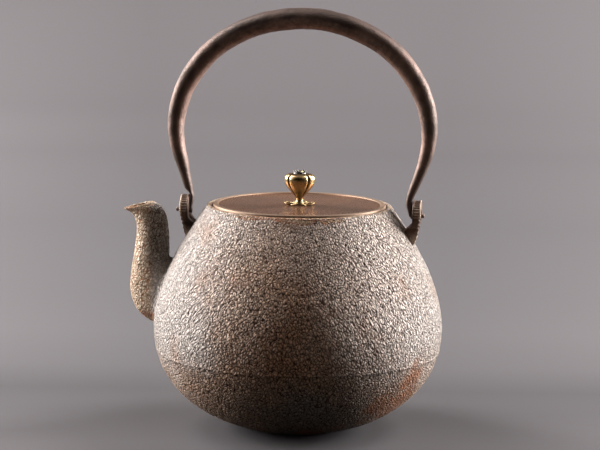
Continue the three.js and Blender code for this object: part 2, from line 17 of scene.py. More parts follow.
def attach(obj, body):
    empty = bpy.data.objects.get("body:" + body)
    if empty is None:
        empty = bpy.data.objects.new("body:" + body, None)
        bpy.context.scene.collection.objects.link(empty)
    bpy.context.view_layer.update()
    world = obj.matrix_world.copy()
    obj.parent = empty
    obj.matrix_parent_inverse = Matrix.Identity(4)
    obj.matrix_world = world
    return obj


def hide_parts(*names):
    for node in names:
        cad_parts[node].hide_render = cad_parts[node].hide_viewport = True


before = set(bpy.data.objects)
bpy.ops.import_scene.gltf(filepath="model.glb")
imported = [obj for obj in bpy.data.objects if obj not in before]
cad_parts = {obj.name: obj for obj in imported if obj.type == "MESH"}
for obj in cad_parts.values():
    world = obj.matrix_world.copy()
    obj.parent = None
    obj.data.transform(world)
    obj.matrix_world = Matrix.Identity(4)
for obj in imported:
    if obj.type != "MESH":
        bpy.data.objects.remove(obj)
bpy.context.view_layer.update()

LOG = logging.getLogger("kettle")
MM = 0.001
Array = np.ndarray
Socket = bpy.types.NodeSocket
Colour = tuple[float, float, float]


# Curves and noise


def bezier(a: tuple, b: tuple, c: tuple, d: tuple, count: int) -> Array:
    """Samples a cubic Bezier curve.

    The point is the four corners weighted by the cubic Bernstein polynomials.

    Args:
        a, b, c, d: The corners in order, each (x, y).
        count: How many samples, both ends included.

    Returns:
        The points, (count, 2).
    """
    t = np.linspace(0.0, 1.0, count)[:, None]
    s = 1.0 - t
    weights = (s**3, 3 * s * s * t, 3 * s * t * t, t**3)
    return sum(weight * np.array(corner, float) for weight, corner in zip(weights, (a, b, c, d)))


def arc_lengths(line: Array) -> Array:
    """The running length along a line at each of its points."""
    steps = np.linalg.norm(np.diff(line, axis=0), axis=1)
    return np.concatenate([[0.0], np.cumsum(steps)])


def along(line: Array, places: Array) -> Array:
    """Points of a line at given running lengths, with the coordinates as the last axis."""
    lengths = arc_lengths(line)
    return np.stack([np.interp(places, lengths, line[:, k]) for k in range(line.shape[1])], -1)


def resampled(line: Array, count: int) -> Array:
    """The same line with count points at equal running lengths."""
    return along(line, np.linspace(0.0, arc_lengths(line)[-1], count))


def unit(vectors: Array) -> Array:
    """Vectors made one long, along the last axis. One of no length stays as it is."""
    return vectors / np.maximum(np.linalg.norm(vectors, axis=-1, keepdims=True), 1e-9)


def side_normals(line: Array) -> Array:
    """Unit normals on the right-hand side of a flat line, from its central differences."""
    run = unit(np.gradient(line, axis=0))
    return np.stack([run[:, 1], -run[:, 0]], 1)


def smoothed_spline(values: Array, places: Array) -> Array:
    """A Catmull-Rom curve through evenly numbered values.

    Between two values the curve is the cubic Hermite blend of them, with half the
    difference of their neighbours as the slopes.

    Args:
        values: The values to pass through, (n, k).
        places: Where to sample, from 0 to n - 1.

    Returns:
        The samples, (len(places), k).
    """
    ahead = np.vstack([values[1:], 2 * values[-1:] - values[-2:-1]])
    behind = np.vstack([2 * values[:1] - values[1:2], values[:-1]])
    slopes = (ahead - behind) / 2
    low = np.clip(np.floor(places).astype(int), 0, len(values) - 2)
    t = (places - low)[:, None]
    h1, h2 = 2 * t**3 - 3 * t**2 + 1, t**3 - 2 * t**2 + t
    h3, h4 = -2 * t**3 + 3 * t**2, t**3 - t**2
    return h1 * values[low] + h2 * slopes[low] + h3 * values[low + 1] + h4 * slopes[low + 1]


def ease(values: Array, low: float, high: float) -> Array:
    """Rises smoothly from 0 at low to 1 at high: three squares less two cubes."""
    t = np.clip((values - low) / (high - low), 0.0, 1.0)
    return t * t * (3.0 - 2.0 * t)


def fall(values: Array, low: float, high: float) -> Array:
    """Falls smoothly from 1 at low to 0 at high."""
    return ease(-values, -high, -low)


def bell(values: Array, middle: float, width: float) -> Array:
    """A bell curve: the exponential of minus the squared distance in widths."""
    return np.exp(-(((values - middle) / width) ** 2))


def lattice_noise(points: Array, size: float, seed: int) -> Array:
    """Gradient noise in space.

    Each corner of a cubic lattice has a random slope, from a hash of its numbers. A point's
    value is the slopes' heights at the point, blended by the quintic 6t^5 - 15t^4 + 10t^3
    along each axis.

    Args:
        points: Places in space, (..., 3).
        size: The lattice's spacing, in the points' unit.
        seed: Chooses the random slopes.

    Returns:
        Values from about -1 to 1, (...).
    """
    place = points / size
    cell = np.floor(place).astype(np.int64)
    inside = place - cell
    fade = inside**3 * (inside * (inside * 6 - 15) + 10)
    total = np.zeros(points.shape[:-1])
    for corner in np.ndindex(2, 2, 2):
        at = cell + np.array(corner)
        mixed = at[..., 0] * 73856093 ^ at[..., 1] * 19349663 ^ at[..., 2] * 83492791
        mixed = (mixed + seed * 7919) & 0x7FFFFFFF
        height, weight = 0.0, 1.0
        for k, turn in enumerate((1, 2, 3)):
            value = (mixed * (1103515245 + 24690 * turn) + 12345 * turn) & 0x7FFFFFFF
            value = (value ^ (value >> 13)) * 1274126177 & 0x7FFFFFFF
            slope = (value >> 8 & 0xFFFF) / 32767.5 - 1.0
            height = height + slope * (inside[..., k] - corner[k])
            weight = weight * (fade[..., k] if corner[k] else 1.0 - fade[..., k])
        total += weight * height
    return total * 1.6


def wandering(points: Array, size: float, amount: float, seed: int) -> Array:
    """Points pushed about by three fields of noise, so that a pattern on them wanders."""
    push = [lattice_noise(points, size, seed + k) for k in range(3)]
    return points + amount * np.stack(push, -1)


# Meshes


def placed(x: Array, y: Array, z: Array) -> Array:
    """Points from their coordinates, which broadcast against each other."""
    return np.stack(np.broadcast_arrays(x, y, z), -1)


def turned(line: Array, angles: Array) -> Array:
    """Turns a flat line of (radius, height) about the Z axis, to (rows, columns, 3)."""
    radius, height = line[:, 0, None], line[:, 1, None]
    return placed(radius * np.cos(angles), radius * np.sin(angles), height)


def full_turn(count: int) -> Array:
    """Angles of a full turn, without the repeated last one."""
    return np.linspace(0.0, 2 * math.pi, count, endpoint=False)


def rounded(corners: list[tuple[float, float, float]], steps: int = 4) -> Array:
    """A flat closed line whose corners are rounded.

    Each corner (x, y, radius) is replaced by a quadratic curve that starts and ends the
    radius away from it, so the line stays inside the corners.

    Args:
        corners: The corners in order.
        steps: Points on each rounding.

    Returns:
        The points, (n, 2).
    """
    points = []
    places = np.array([corner[:2] for corner in corners])
    t = np.linspace(0.0, 1.0, steps)[:, None]
    for i, corner in enumerate(corners):
        start, end = (
            places[i] + way / np.linalg.norm(way) * min(corner[2], np.linalg.norm(way) * 0.49)
            for way in (places[i - 1] - places[i], places[(i + 1) % len(places)] - places[i])
        )
        points.append((1 - t) ** 2 * start + 2 * t * (1 - t) * places[i] + t * t * end)
    return np.vstack(points)


def quads_of(numbers: Array, around: bool = False, closed: bool = False) -> Array:
    """The quads of a grid of point numbers.

    Args:
        numbers: Point numbers, (rows, columns).
        around: The last column meets the first.
        closed: The last row meets the first.

    Returns:
        The quads, (rows, columns, 4), one fewer each way where the grid is open.
    """
    rows = np.vstack([numbers, numbers[:1]]) if closed else numbers
    grid = np.hstack([rows, rows[:, :1]]) if around else rows
    return np.stack([grid[:-1, :-1], grid[:-1, 1:], grid[1:, 1:], grid[1:, :-1]], -1)


class Skin:
    """Gathers grids of points into one mesh object."""

    def __init__(self, name: str) -> None:
        """Starts an empty skin under the name of its piece.

        Args:
            name: The piece's name.
        """
        self.name = name
        self.points: list[Array] = []
        self.quads: list[Array] = []
        self.triangles: list[Array] = []
        self.marks: list[Array] = []
        self.count = 0

    def add_points(self, points: Array, mark: Array | float = 0.0) -> Array:
        """Adds points and their marks.

        Args:
            points: Places in millimetres, (..., 3).
            mark: A value for each point, or one for all, kept as the attribute "mark".

        Returns:
            The points' numbers, shaped as the points are.
        """
        shape = points.shape[:-1]
        numbers = self.count + np.arange(math.prod(shape)).reshape(shape)
        self.points.append(points.reshape(-1, 3))
        self.marks.append(np.broadcast_to(mark, shape).ravel())
        self.count += numbers.size
        return numbers

    def add_quads(self, quads: Array) -> None:
        """Adds quads of point numbers, (..., 4)."""
        self.quads.append(quads.reshape(-1, 4))

    def add_fan(self, ring: Array, centre: Array, mark: float = 0.0) -> None:
        """Closes a ring of point numbers with triangles to a new centre point."""
        middle = self.add_points(centre.reshape(1, 3), mark)[0]
        self.triangles.append(np.stack([ring, np.roll(ring, -1), np.full_like(ring, middle)], -1))

    def add_solid(self, points: Array, mark: Array | float = 0.0) -> None:
        """Adds a closed form given as rings of points, with a fan on each end.

        Args:
            points: (rings, points around, 3), in millimetres.
            mark: As in add_points.
        """
        first = len(self.quads), len(self.triangles)
        numbers = self.add_points(points, mark)
        self.add_quads(quads_of(numbers, around=True))
        marks = np.broadcast_to(mark, numbers.shape)
        self.add_fan(numbers[0][::-1], points[0].mean(0), float(marks[0, 0]))
        self.add_fan(numbers[-1], points[-1].mean(0), float(marks[-1, 0]))
        self._face_out(*first)

    def add_ring(self, points: Array, mark: Array | float = 0.0) -> None:
        """Adds a form whose grid closes both ways, such as a ring.

        Args:
            points: (rows, columns, 3), in millimetres.
            mark: As in add_points.
        """
        first = len(self.quads), len(self.triangles)
        self.add_quads(quads_of(self.add_points(points, mark), around=True, closed=True))
        self._face_out(*first)

    def _face_out(self, first_quad: int, first_triangle: int) -> None:
        """Turns the newest faces round where the volume that they enclose is negative.

        Args:
            first_quad: Where the newest quads start.
            first_triangle: Where the newest triangles start.
        """
        points = np.vstack(self.points)
        quads = np.vstack(self.quads[first_quad:])
        parts = [quads[:, [0, 1, 2]], quads[:, [0, 2, 3]], *self.triangles[first_triangle:]]
        a, b, c = (points[np.vstack(parts)[:, k]] for k in range(3))
        if np.einsum("ij,ij->i", a, np.cross(b, c)).sum() < 0:
            for faces, first in ((self.quads, first_quad), (self.triangles, first_triangle)):
                faces[first:] = [face[:, ::-1] for face in faces[first:]]

    def finish(self, material: bpy.types.Material) -> bpy.types.Object:
        """Makes the mesh object, with smooth faces, its marks and one material.

        Args:
            material: The finish.

        Returns:
            The object, linked to the scene.
        """
        quads, triangles = (
            np.vstack([np.zeros((0, size), int), *faces])
            for size, faces in ((4, self.quads), (3, self.triangles))
        )
        corners = np.concatenate([quads.ravel(), triangles.ravel()]).astype(np.int32)
        sizes = np.concatenate([np.full(len(quads), 4), np.full(len(triangles), 3)])
        starts = np.concatenate([[0], np.cumsum(sizes)[:-1]]).astype(np.int32)
        mesh = bpy.data.meshes.new(self.name)
        mesh.vertices.add(self.count)
        mesh.vertices.foreach_set("co", (np.vstack(self.points) * MM).astype(np.float32).ravel())
        mesh.loops.add(len(corners))
        mesh.loops.foreach_set("vertex_index", corners)
        mesh.polygons.add(len(sizes))
        mesh.polygons.foreach_set("loop_start", starts)
        mesh.polygons.foreach_set("use_smooth", np.ones(len(sizes), bool))
        mark = mesh.attributes.new("mark", "FLOAT", "POINT")
        mark.data.foreach_set("value", np.concatenate(self.marks).astype(np.float32))
        mesh.update(calc_edges=True)
        mesh.validate()
        mesh.materials.append(material)
        piece = bpy.data.objects.new(self.name, mesh)
        bpy.context.scene.collection.objects.link(piece)
        LOG.info("%s: %d triangles", self.name, len(quads) * 2 + len(triangles))
        return piece


def dress(skin: Skin, material: bpy.types.Material, node: str, body: str) -> None:
    """Makes a skin's piece and ties it to the frame.

    Args:
        skin: The piece's skin.
        material: Its finish.
        node: The CAD node that it stands for.
        body: The body that it moves with.
    """
    piece = skin.finish(material)
    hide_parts(node)
    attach(piece, body)


# Shader graphs


class Graph:
    """Adds and links the nodes of one tree."""

    def __init__(self, tree: bpy.types.NodeTree) -> None:
        """Works on the given tree."""
        self.tree = tree

    def feed(self, node: bpy.types.Node, **inputs: object) -> None:
        """Gives a node's inputs their values.

        Args:
            node: The node.
            inputs: Values or sockets by the input's name, with _ for a blank, or in0, in1
                and so on for an input by its number.
        """
        for key, value in inputs.items():
            numbered = key.startswith("in") and key[2:].isdigit()
            target = node.inputs[int(key[2:]) if numbered else key.replace("_", " ")]
            if isinstance(value, Socket):
                self.tree.links.new(value, target)
            else:
                target.default_value = (*value, 1.0) if target.type == "RGBA" else value

    def add(self, kind: str, settings: dict | None = None, **inputs: object) -> bpy.types.Node:
        """Adds a node.

        Args:
            kind: The node's type name, without "ShaderNode".
            settings: Properties of the node.
            inputs: As for feed.

        Returns:
            The node.
        """
        node = self.tree.nodes.new("ShaderNode" + kind)
        for key, value in (settings or {}).items():
            setattr(node, key, value)
        self.feed(node, **inputs)
        return node

    def math(self, operation: str, *values: object, clamp: bool = False) -> Socket:
        """One Math node, and its output."""
        inputs = {f"in{i}": value for i, value in enumerate(values)}
        return self.add("Math", {"operation": operation, "use_clamp": clamp}, **inputs).outputs[0]

    def times(self, first: object, second: object, clamp: bool = False) -> Socket:
        """The product of two values."""
        return self.math("MULTIPLY", first, second, clamp=clamp)

    def times_plus(self, first: object, second: object, third: object,
                   clamp: bool = False) -> Socket:
        """The product of two values, plus a third."""
        return self.math("MULTIPLY_ADD", first, second, third, clamp=clamp)

    def bell(self, value: object, middle: object, width: float) -> Socket:
        """A bell curve: the exponential of minus the squared distance in widths."""
        off = self.times(self.math("SUBTRACT", value, middle), 1 / width)
        return self.math("EXPONENT", self.times(self.times(off, off), -1.0))

    def between(self, value: Socket, low: object, high: object) -> Socket:
        """Stretches a value so that low becomes 0 and high becomes 1, smoothly."""
        settings = {"interpolation_type": "SMOOTHSTEP"}
        return self.add("MapRange", settings, in0=value, in1=low, in2=high).outputs[0]

    def spread(self, value: Socket, low: float, high: float) -> Socket:
        """Turns a value from 0 to 1 into one from low to high."""
        return self.add("MapRange", in0=value, in3=low, in4=high).outputs[0]

    def vector(self, operation: str, first: object, second: object,
               **inputs: object) -> bpy.types.Node:
        """One Vector Math node."""
        return self.add("VectorMath", {"operation": operation}, in0=first, in1=second, **inputs)

    def axes(self, vector: Socket) -> bpy.types.NodeOutputs:
        """A vector's outputs X, Y and Z."""
        return self.add("SeparateXYZ", Vector=vector).outputs

    def mark(self) -> Socket:
        """The skin's own mark."""
        return self.add("Attribute", {"attribute_name": "mark"}).outputs["Fac"]

    def rays(self) -> tuple[Socket, Socket]:
        """Whether a ray comes from the camera, and whether metal or glass sent it on.

        Returns:
            Both, as 0 or 1.
        """
        ray = self.add("LightPath").outputs
        sent_on = self.math("MAXIMUM", ray["Is Glossy Ray"], ray["Is Transmission Ray"])
        return ray["Is Camera Ray"], sent_on

    def noise(self, vector: Socket, scale: object, **inputs: object) -> Socket:
        """One noise texture's value."""
        return self.add("TexNoise", Vector=vector, Scale=scale, **inputs).outputs[0]

    def ramp(self, value: Socket, stops: list[tuple[float, Colour]]) -> Socket:
        """A colour ramp through the given stops.

        Args:
            value: Where on the ramp, from 0 to 1.
            stops: Places and colours, in order.

        Returns:
            The colour.
        """
        node = self.add("ValToRGB", Fac=value)
        elements = node.color_ramp.elements
        while len(elements) < len(stops):
            elements.new(1.0)
        for element, (place, colour) in zip(elements, stops):
            element.position = place
            element.color = (*colour, 1.0)
        return node.outputs[0]

    def blend(self, share: object, first: object, second: object, how: str = "MIX") -> Socket:
        """Mixes two colours by a share."""
        settings = {"data_type": "RGBA", "blend_type": how}
        return self.add("Mix", settings, in0=share, in6=first, in7=second).outputs[2]


def shared_group(name: str, inputs: dict[str, str], outputs: dict[str, str]) -> tuple:
    """Makes a shader node group.

    Args:
        name: The group's name.
        inputs: Socket names with their kinds, such as Float or Vector.
        outputs: The same for what it puts out.

    Returns:
        The group's tree, a Graph on it, its input node and its output node.
    """
    tree = bpy.data.node_groups.new(name, "ShaderNodeTree")
    for direction, sockets in (("INPUT", inputs), ("OUTPUT", outputs)):
        for label, kind in sockets.items():
            tree.interface.new_socket(label, in_out=direction, socket_type="NodeSocket" + kind)
    start = tree.nodes.new("NodeGroupInput")
    return tree, Graph(tree), start, tree.nodes.new("NodeGroupOutput")


def wrinkle_group() -> bpy.types.NodeTree:
    """The casting skin's leathery grain.

    The place is drawn out along a way that slants down and outwards on each side, and is
    pushed about by a colour noise. Low mounds come from the distance to the nearest cell
    edge and from a noise whose middle values are stretched into steep sides, so that grains
    stand between narrow hollows. The mask is 0 in the thin lines along the cells' edges and
    1 on the grains.

    Returns:
        The group's tree.
    """
    half_width = 0.05  # metres from the middle to where the slant is full
    down = 0.87  # the slanting way's part down, beside a part outwards of 0.5
    level = 0.052  # down times the height of the slant's middle, in metres
    stretch = 0.42
    push = 0.0021
    tree, graph, start, end = shared_group(
        "casting_wrinkles", {"Vector": "Vector", "Scale": "Float"},
        {"Height": "Float", "Grains": "Float"},
    )
    place, scale = start.outputs[:2]
    axes = graph.axes(place)
    out = graph.add("MapRange", in0=axes["X"], in1=-half_width, in2=half_width, in3=-0.5,
                    in4=0.5).outputs[0]
    run = graph.times_plus(axes["X"], out, graph.times_plus(axes["Z"], -down, level))
    back = graph.add("CombineXYZ", X=graph.times(out, -1.0), Z=down).outputs[0]
    drawn = graph.vector("MULTIPLY_ADD", graph.times(run, stretch), back, in2=place).outputs[0]
    colours = graph.add("TexNoise", Vector=drawn, Scale=graph.times(scale, 0.6), Detail=1.0)
    centred = graph.vector("SUBTRACT", colours.outputs["Color"], (0.5, 0.5, 0.5)).outputs[0]
    led = graph.vector("MULTIPLY_ADD", centred, (push, push, push), in2=drawn).outputs[0]
    grain = graph.noise(led, scale, Detail=1.0, Roughness=0.4, Distortion=0.4)
    steep = graph.between(grain, 0.38, 0.58)
    cell = graph.add("TexVoronoi", {"feature": "DISTANCE_TO_EDGE"}, Vector=led,
                     Scale=graph.times(scale, 0.95)).outputs["Distance"]
    height = graph.times_plus(graph.between(cell, 0.0, 0.3), 0.6, graph.times(steep, 0.6))
    lifted = graph.times_plus(steep, 0.03, cell)
    graph.feed(end, Height=height, Grains=graph.between(lifted, 0.03, 0.15))
    return tree


def cloud_group() -> bpy.types.NodeTree:
    """Large soft clouds: noise of a given scale, stretched between two limits.

    Returns:
        The group's tree.
    """
    inputs = {"Vector": "Vector", "Scale": "Float", "Low": "Float", "High": "Float"}
    tree, graph, start, end = shared_group("patina_clouds", inputs, {"Mask": "Float"})
    place, scale, low, high = start.outputs[:4]
    value = graph.noise(place, scale, Detail=4.0, Roughness=0.6)
    graph.feed(end, Mask=graph.between(value, low, high))
    return tree


class SharedEffects:
    """The node groups that several finishes use, each made once."""

    def __init__(self) -> None:
        """Makes the groups."""
        self.wrinkles = wrinkle_group()
        self.clouds = cloud_group()

    def grain(self, graph: Graph, place: Socket, scale: float) -> list[Socket]:
        """Puts the casting's grain into a graph, and gives its height and its mask."""
        node = graph.add("Group", {"node_tree": self.wrinkles}, Vector=place, Scale=scale)
        return list(node.outputs)

    def cloud(self, graph: Graph, place: Socket, scale: float, low: float,
              high: float) -> Socket:
        """Puts clouds into a graph: a noise that is 0 up to low and 1 from high on."""
        return graph.add("Group", {"node_tree": self.clouds}, Vector=place, Scale=scale, Low=low,
                         High=high).outputs[0]


@dataclass(frozen=True)
class Finish:
    """What all finishes share: a name, and the start and the relief of their graph."""

    name: str

    def begin(self) -> tuple[bpy.types.Material, Graph, bpy.types.Node, Socket]:
        """Starts a material.

        Returns:
            The material, its graph, its Principled node and the Object coordinates.
        """
        material = bpy.data.materials.new(self.name)
        material.use_nodes = True
        graph = Graph(material.node_tree)
        shader = material.node_tree.nodes["Principled BSDF"]
        return material, graph, shader, graph.add("TexCoord").outputs["Object"]

    def bump(self, graph: Graph, shader: bpy.types.Node, height: Socket, strength: float,
             distance: float) -> None:
        """Feeds a height to the shader's normal, with the distance in metres."""
        node = graph.add("Bump", Strength=strength, Distance=distance, Height=height)
        graph.feed(shader, Normal=node.outputs[0])


@dataclass(frozen=True)
class CastSkin(Finish):
    """The shell's and the spout's leathery skin: tan-brown iron with rust and a fine seam.

    Places, widths and heights are in metres.
    """

    ridge: Colour = (0.87, 0.735, 0.645)
    # Painted shade: the near-black colour put into the grain's thin crease lines.
    crease_shade: Colour = (0.06, 0.024, 0.012)
    # Pale bloom; on the lit left and right sides it is also a painted highlight.
    bloom_and_side_highlight: Colour = (0.87, 0.79, 0.745)
    brown: Colour = (0.56, 0.26, 0.13)
    # Painted shade: the brown put low down and down the middle of the front.
    brown_shade: Colour = (0.82, 0.48, 0.30)
    tan: Colour = (1.0, 0.80, 0.59)
    aged: Colour = (0.40, 0.30, 0.235)
    # Painted shade: the dark grey put low in the middle and on the spout's side towards the shell.
    grey_shade: Colour = (0.36, 0.32, 0.28)
    gleam: Colour = (1.0, 0.83, 0.74)
    rust: Colour = (0.44, 0.16, 0.065)
    lip_rust: Colour = (0.60, 0.40, 0.25)
    grain: float = 720.0
    relief: float = 0.0027
    seam_height: float = 0.0438
    seam_sway: float = 0.0016
    seam_width: float = 0.00062

    def _seam(self, graph: Graph, place: Socket, height: Socket,
              effects: SharedEffects) -> Socket:
        """The mould's joint: a bell curve of the height from it, fainter here and there.

        Args:
            graph: The material's graph.
            place: The Object coordinates.
            height: Their Z.
            effects: The shared node groups.

        Returns:
            The seam's height, from 0 to 1.
        """
        sway = graph.noise(place, 26.0, Detail=1.0)
        level = graph.times_plus(sway, self.seam_sway, self.seam_height - self.seam_sway / 2)
        bell = graph.bell(height, level, self.seam_width)
        return graph.times(bell, effects.cloud(graph, place, 16.0, 0.35, 0.6))

    def _painted_shade(self, graph: Graph, place: Socket, axes: bpy.types.NodeOutputs,
                effects: SharedEffects) -> tuple[Socket, Socket]:
        """Painted shade on the skin, in brown and in a darker grey.

        The brown shade lies below the belly and runs down the middle of the front, as the sum of a
        narrow and a wide bell curve of the distance across. The grey shade is low in the middle.

        Args:
            graph: The material's graph.
            place: The Object coordinates.
            axes: Their X, Y and Z.
            effects: The shared node groups.

        Returns:
            The shares of brown painted shade and of grey painted shade.
        """
        low = graph.between(axes["Z"], 0.058, 0.024)
        narrow = graph.bell(axes["X"], -0.011, 0.027)
        wide = graph.bell(axes["X"], 0.012, 0.045)
        middle = graph.times_plus(wide, 0.4, graph.times(narrow, 0.75))
        fade = graph.spread(graph.between(axes["Z"], 0.112, 0.08), 0.45, 1.0)
        front = graph.times(graph.times(middle, fade), graph.between(axes["Y"], 0.0, -0.03))
        clouds = graph.spread(effects.cloud(graph, place, 38.0, 0.3, 0.66), 0.6, 1.15)
        brown = graph.times(graph.times_plus(low, 0.75, front), clouds, clamp=True)
        return brown, graph.times(graph.times(low, wide), clouds, clamp=True)

    def material(self, effects: SharedEffects) -> bpy.types.Material:
        """Builds the material: the grain's colours, then one tone over the other.

        Args:
            effects: The shared node groups.

        Returns:
            The material.
        """
        material, graph, shader, place = self.begin()
        axes = graph.axes(place)
        height, share = effects.grain(graph, place, self.grain)
        mark = graph.mark()
        # Pale bloom in clouds, plus a painted highlight that whitens the lit left side and, less, the
        # right side.
        sides = effects.cloud(graph, place, 14.0, 0.4, 0.7)
        for weight, inner, outer in ((1.1, -0.012, -0.05), (0.7, 0.04, 0.08)):
            sides = graph.times_plus(graph.between(axes["X"], inner, outer), weight, sides)
        spout = graph.between(axes["X"], -0.079, -0.083)
        back = graph.times(graph.between(axes["Y"], 0.012, 0.05),
                           graph.times_plus(spout, -0.8, 0.8))
        brown = graph.times(effects.cloud(graph, place, 34.0, 0.5, 0.72),
                            graph.times_plus(spout, -0.25, 0.35))
        # Painted shade: brown and a darker grey, low down and down the front's middle.
        brown_shade, grey_shade = self._painted_shade(graph, place, axes, effects)
        # A mark below 0 is the spout's painted shade, on its upper side towards the shell.
        grey_shade = graph.math("MAXIMUM", grey_shade, graph.times(mark, -1.0))
        aside = graph.between(graph.math("ABSOLUTE", axes["X"]), 0.022, 0.034)
        lip = graph.times(graph.between(axes["Z"], 0.119, 0.1215), aside)
        rusty = graph.times(graph.between(mark, 0.08, 0.5), graph.math("SUBTRACT", 1.0, lip))
        # The grain's crease lines carry a near-black painted shade, and the grains carry the ridge
        # colour.
        colour = graph.blend(share, self.crease_shade, self.ridge)
        for cover, tone in (
            (graph.times(sides, 0.3), self.bloom_and_side_highlight),
            (back, graph.blend(share, self.crease_shade, self.aged)),
            (graph.times(spout, 0.95), graph.blend(share, self.brown, self.tan)),
            (brown, self.brown),
            (brown_shade, graph.blend(share, self.crease_shade, self.brown_shade)),
            (grey_shade, graph.blend(share, self.crease_shade, self.grey_shade)),
            (graph.times(rusty, 0.8), self.rust),
            (graph.between(mark, 0.55, 1.0), self.lip_rust),
        ):
            colour = graph.blend(cover, colour, tone)
        graph.feed(shader, Base_Color=colour, Metallic=0.0, IOR=1.7, Specular_Tint=self.gleam,
                   Specular_IOR_Level=0.15, Roughness=graph.spread(share, 0.9, 0.48))
        seam = self._seam(graph, place, axes["Z"], effects)
        self.bump(graph, shader, graph.times_plus(seam, 0.8, height), 1.0, self.relief)
        return material


@dataclass(frozen=True)
class DarkIron(Finish):
    """Brown-black iron: soft clouds of brown, fine pits, and a satin sheen."""

    dark: Colour
    brown: Colour
    pale: Colour
    gleam: Colour = (1.0, 0.80, 0.70)
    metallic: float = 0.25
    pale_low: float = 0.5
    rough_low: float = 0.4
    rough_high: float = 0.6
    relief: float = 0.00025

    def material(self, effects: SharedEffects) -> bpy.types.Material:
        """Builds the material. A mark above 0 is pale: worn, and on the ears' rim edges and feet a
        painted highlight. One below 0 is dark.

        Args:
            effects: The shared node groups.

        Returns:
            The material.
        """
        material, graph, shader, place = self.begin()
        mark = graph.mark()
        fleck = graph.spread(effects.cloud(graph, place, 420.0, 0.42, 0.6), self.pale_low, 1.0)
        colour = graph.blend(effects.cloud(graph, place, 45.0, 0.38, 0.66), self.dark, self.brown)
        # Pale marks: wear, and the ears' painted highlights.
        colour = graph.blend(graph.times(mark, fleck, clamp=True), colour, self.pale)
        colour = graph.blend(graph.times(mark, -1.0, clamp=True), colour, self.dark)
        pits = graph.noise(place, 700.0, Detail=3.0, Roughness=0.6)
        graph.feed(shader, Base_Color=colour, Metallic=self.metallic, Specular_Tint=self.gleam,
                   Roughness=graph.spread(pits, self.rough_low, self.rough_high))
        self.bump(graph, shader, pits, 0.7, self.relief)
        return material


@dataclass(frozen=True)
class BrownBronze(Finish):
    """The lid's brown patina: flat and satin, with fine specks and a paler worn rim."""

    brown: Colour = (0.20, 0.115, 0.078)
    warm: Colour = (0.27, 0.14, 0.085)
    speck: Colour = (0.55, 0.44, 0.35)
    rim: Colour = (0.31, 0.225, 0.165)
    gleam: Colour = (1.0, 0.78, 0.64)

    def material(self, effects: SharedEffects) -> bpy.types.Material:
        """Builds the material. The mark is the worn rim.

        Args:
            effects: The shared node groups.

        Returns:
            The material.
        """
        material, graph, shader, place = self.begin()
        mark = graph.mark()
        speck = graph.spread(effects.cloud(graph, place, 900.0, 0.62, 0.8), 0.0, 0.6)
        colour = graph.blend(effects.cloud(graph, place, 30.0, 0.4, 0.65), self.brown, self.warm)
        colour = graph.blend(mark, graph.blend(speck, colour, self.speck), self.rim)
        fine = graph.noise(place, 1100.0, Detail=2.0)
        rough = graph.times_plus(mark, 0.3, graph.spread(fine, 0.2, 0.36))
        graph.feed(shader, Base_Color=colour, Metallic=0.6, Specular_Tint=self.gleam,
                   Roughness=rough)
        self.bump(graph, shader, fine, 0.35, 0.0001)
        return material


@dataclass(frozen=True)
class BrightMetal(Finish):
    """Polished metal darkened where the mark is high: tarnish in its grooves, and painted shade on
    the bud's crown.
    """

    bright: Colour = (0.60, 0.44, 0.215)
    groove: Colour = (0.085, 0.045, 0.02)
    roughness: float = 0.27

    def material(self, effects: SharedEffects) -> bpy.types.Material:
        """Builds the material.

        Args:
            effects: The shared node groups.

        Returns:
            The material.
        """
        material, graph, shader, place = self.begin()
        tarnish = effects.cloud(graph, place, 260.0, 0.45, 0.8)
        dark = graph.times_plus(tarnish, 0.25, graph.mark(), clamp=True)
        graph.feed(shader, Base_Color=graph.blend(dark, self.bright, self.groove), Metallic=1.0,
                   Roughness=graph.times_plus(dark, 0.25, self.roughness))
        self.bump(graph, shader, graph.noise(place, 1500.0, Detail=2.0), 0.15, 0.00006)
        return material


# The kettle's pieces


class Side(Enum):
    """Which end of the bail's axis a piece stands at."""

    SPOUT = -1
    FAR = 1


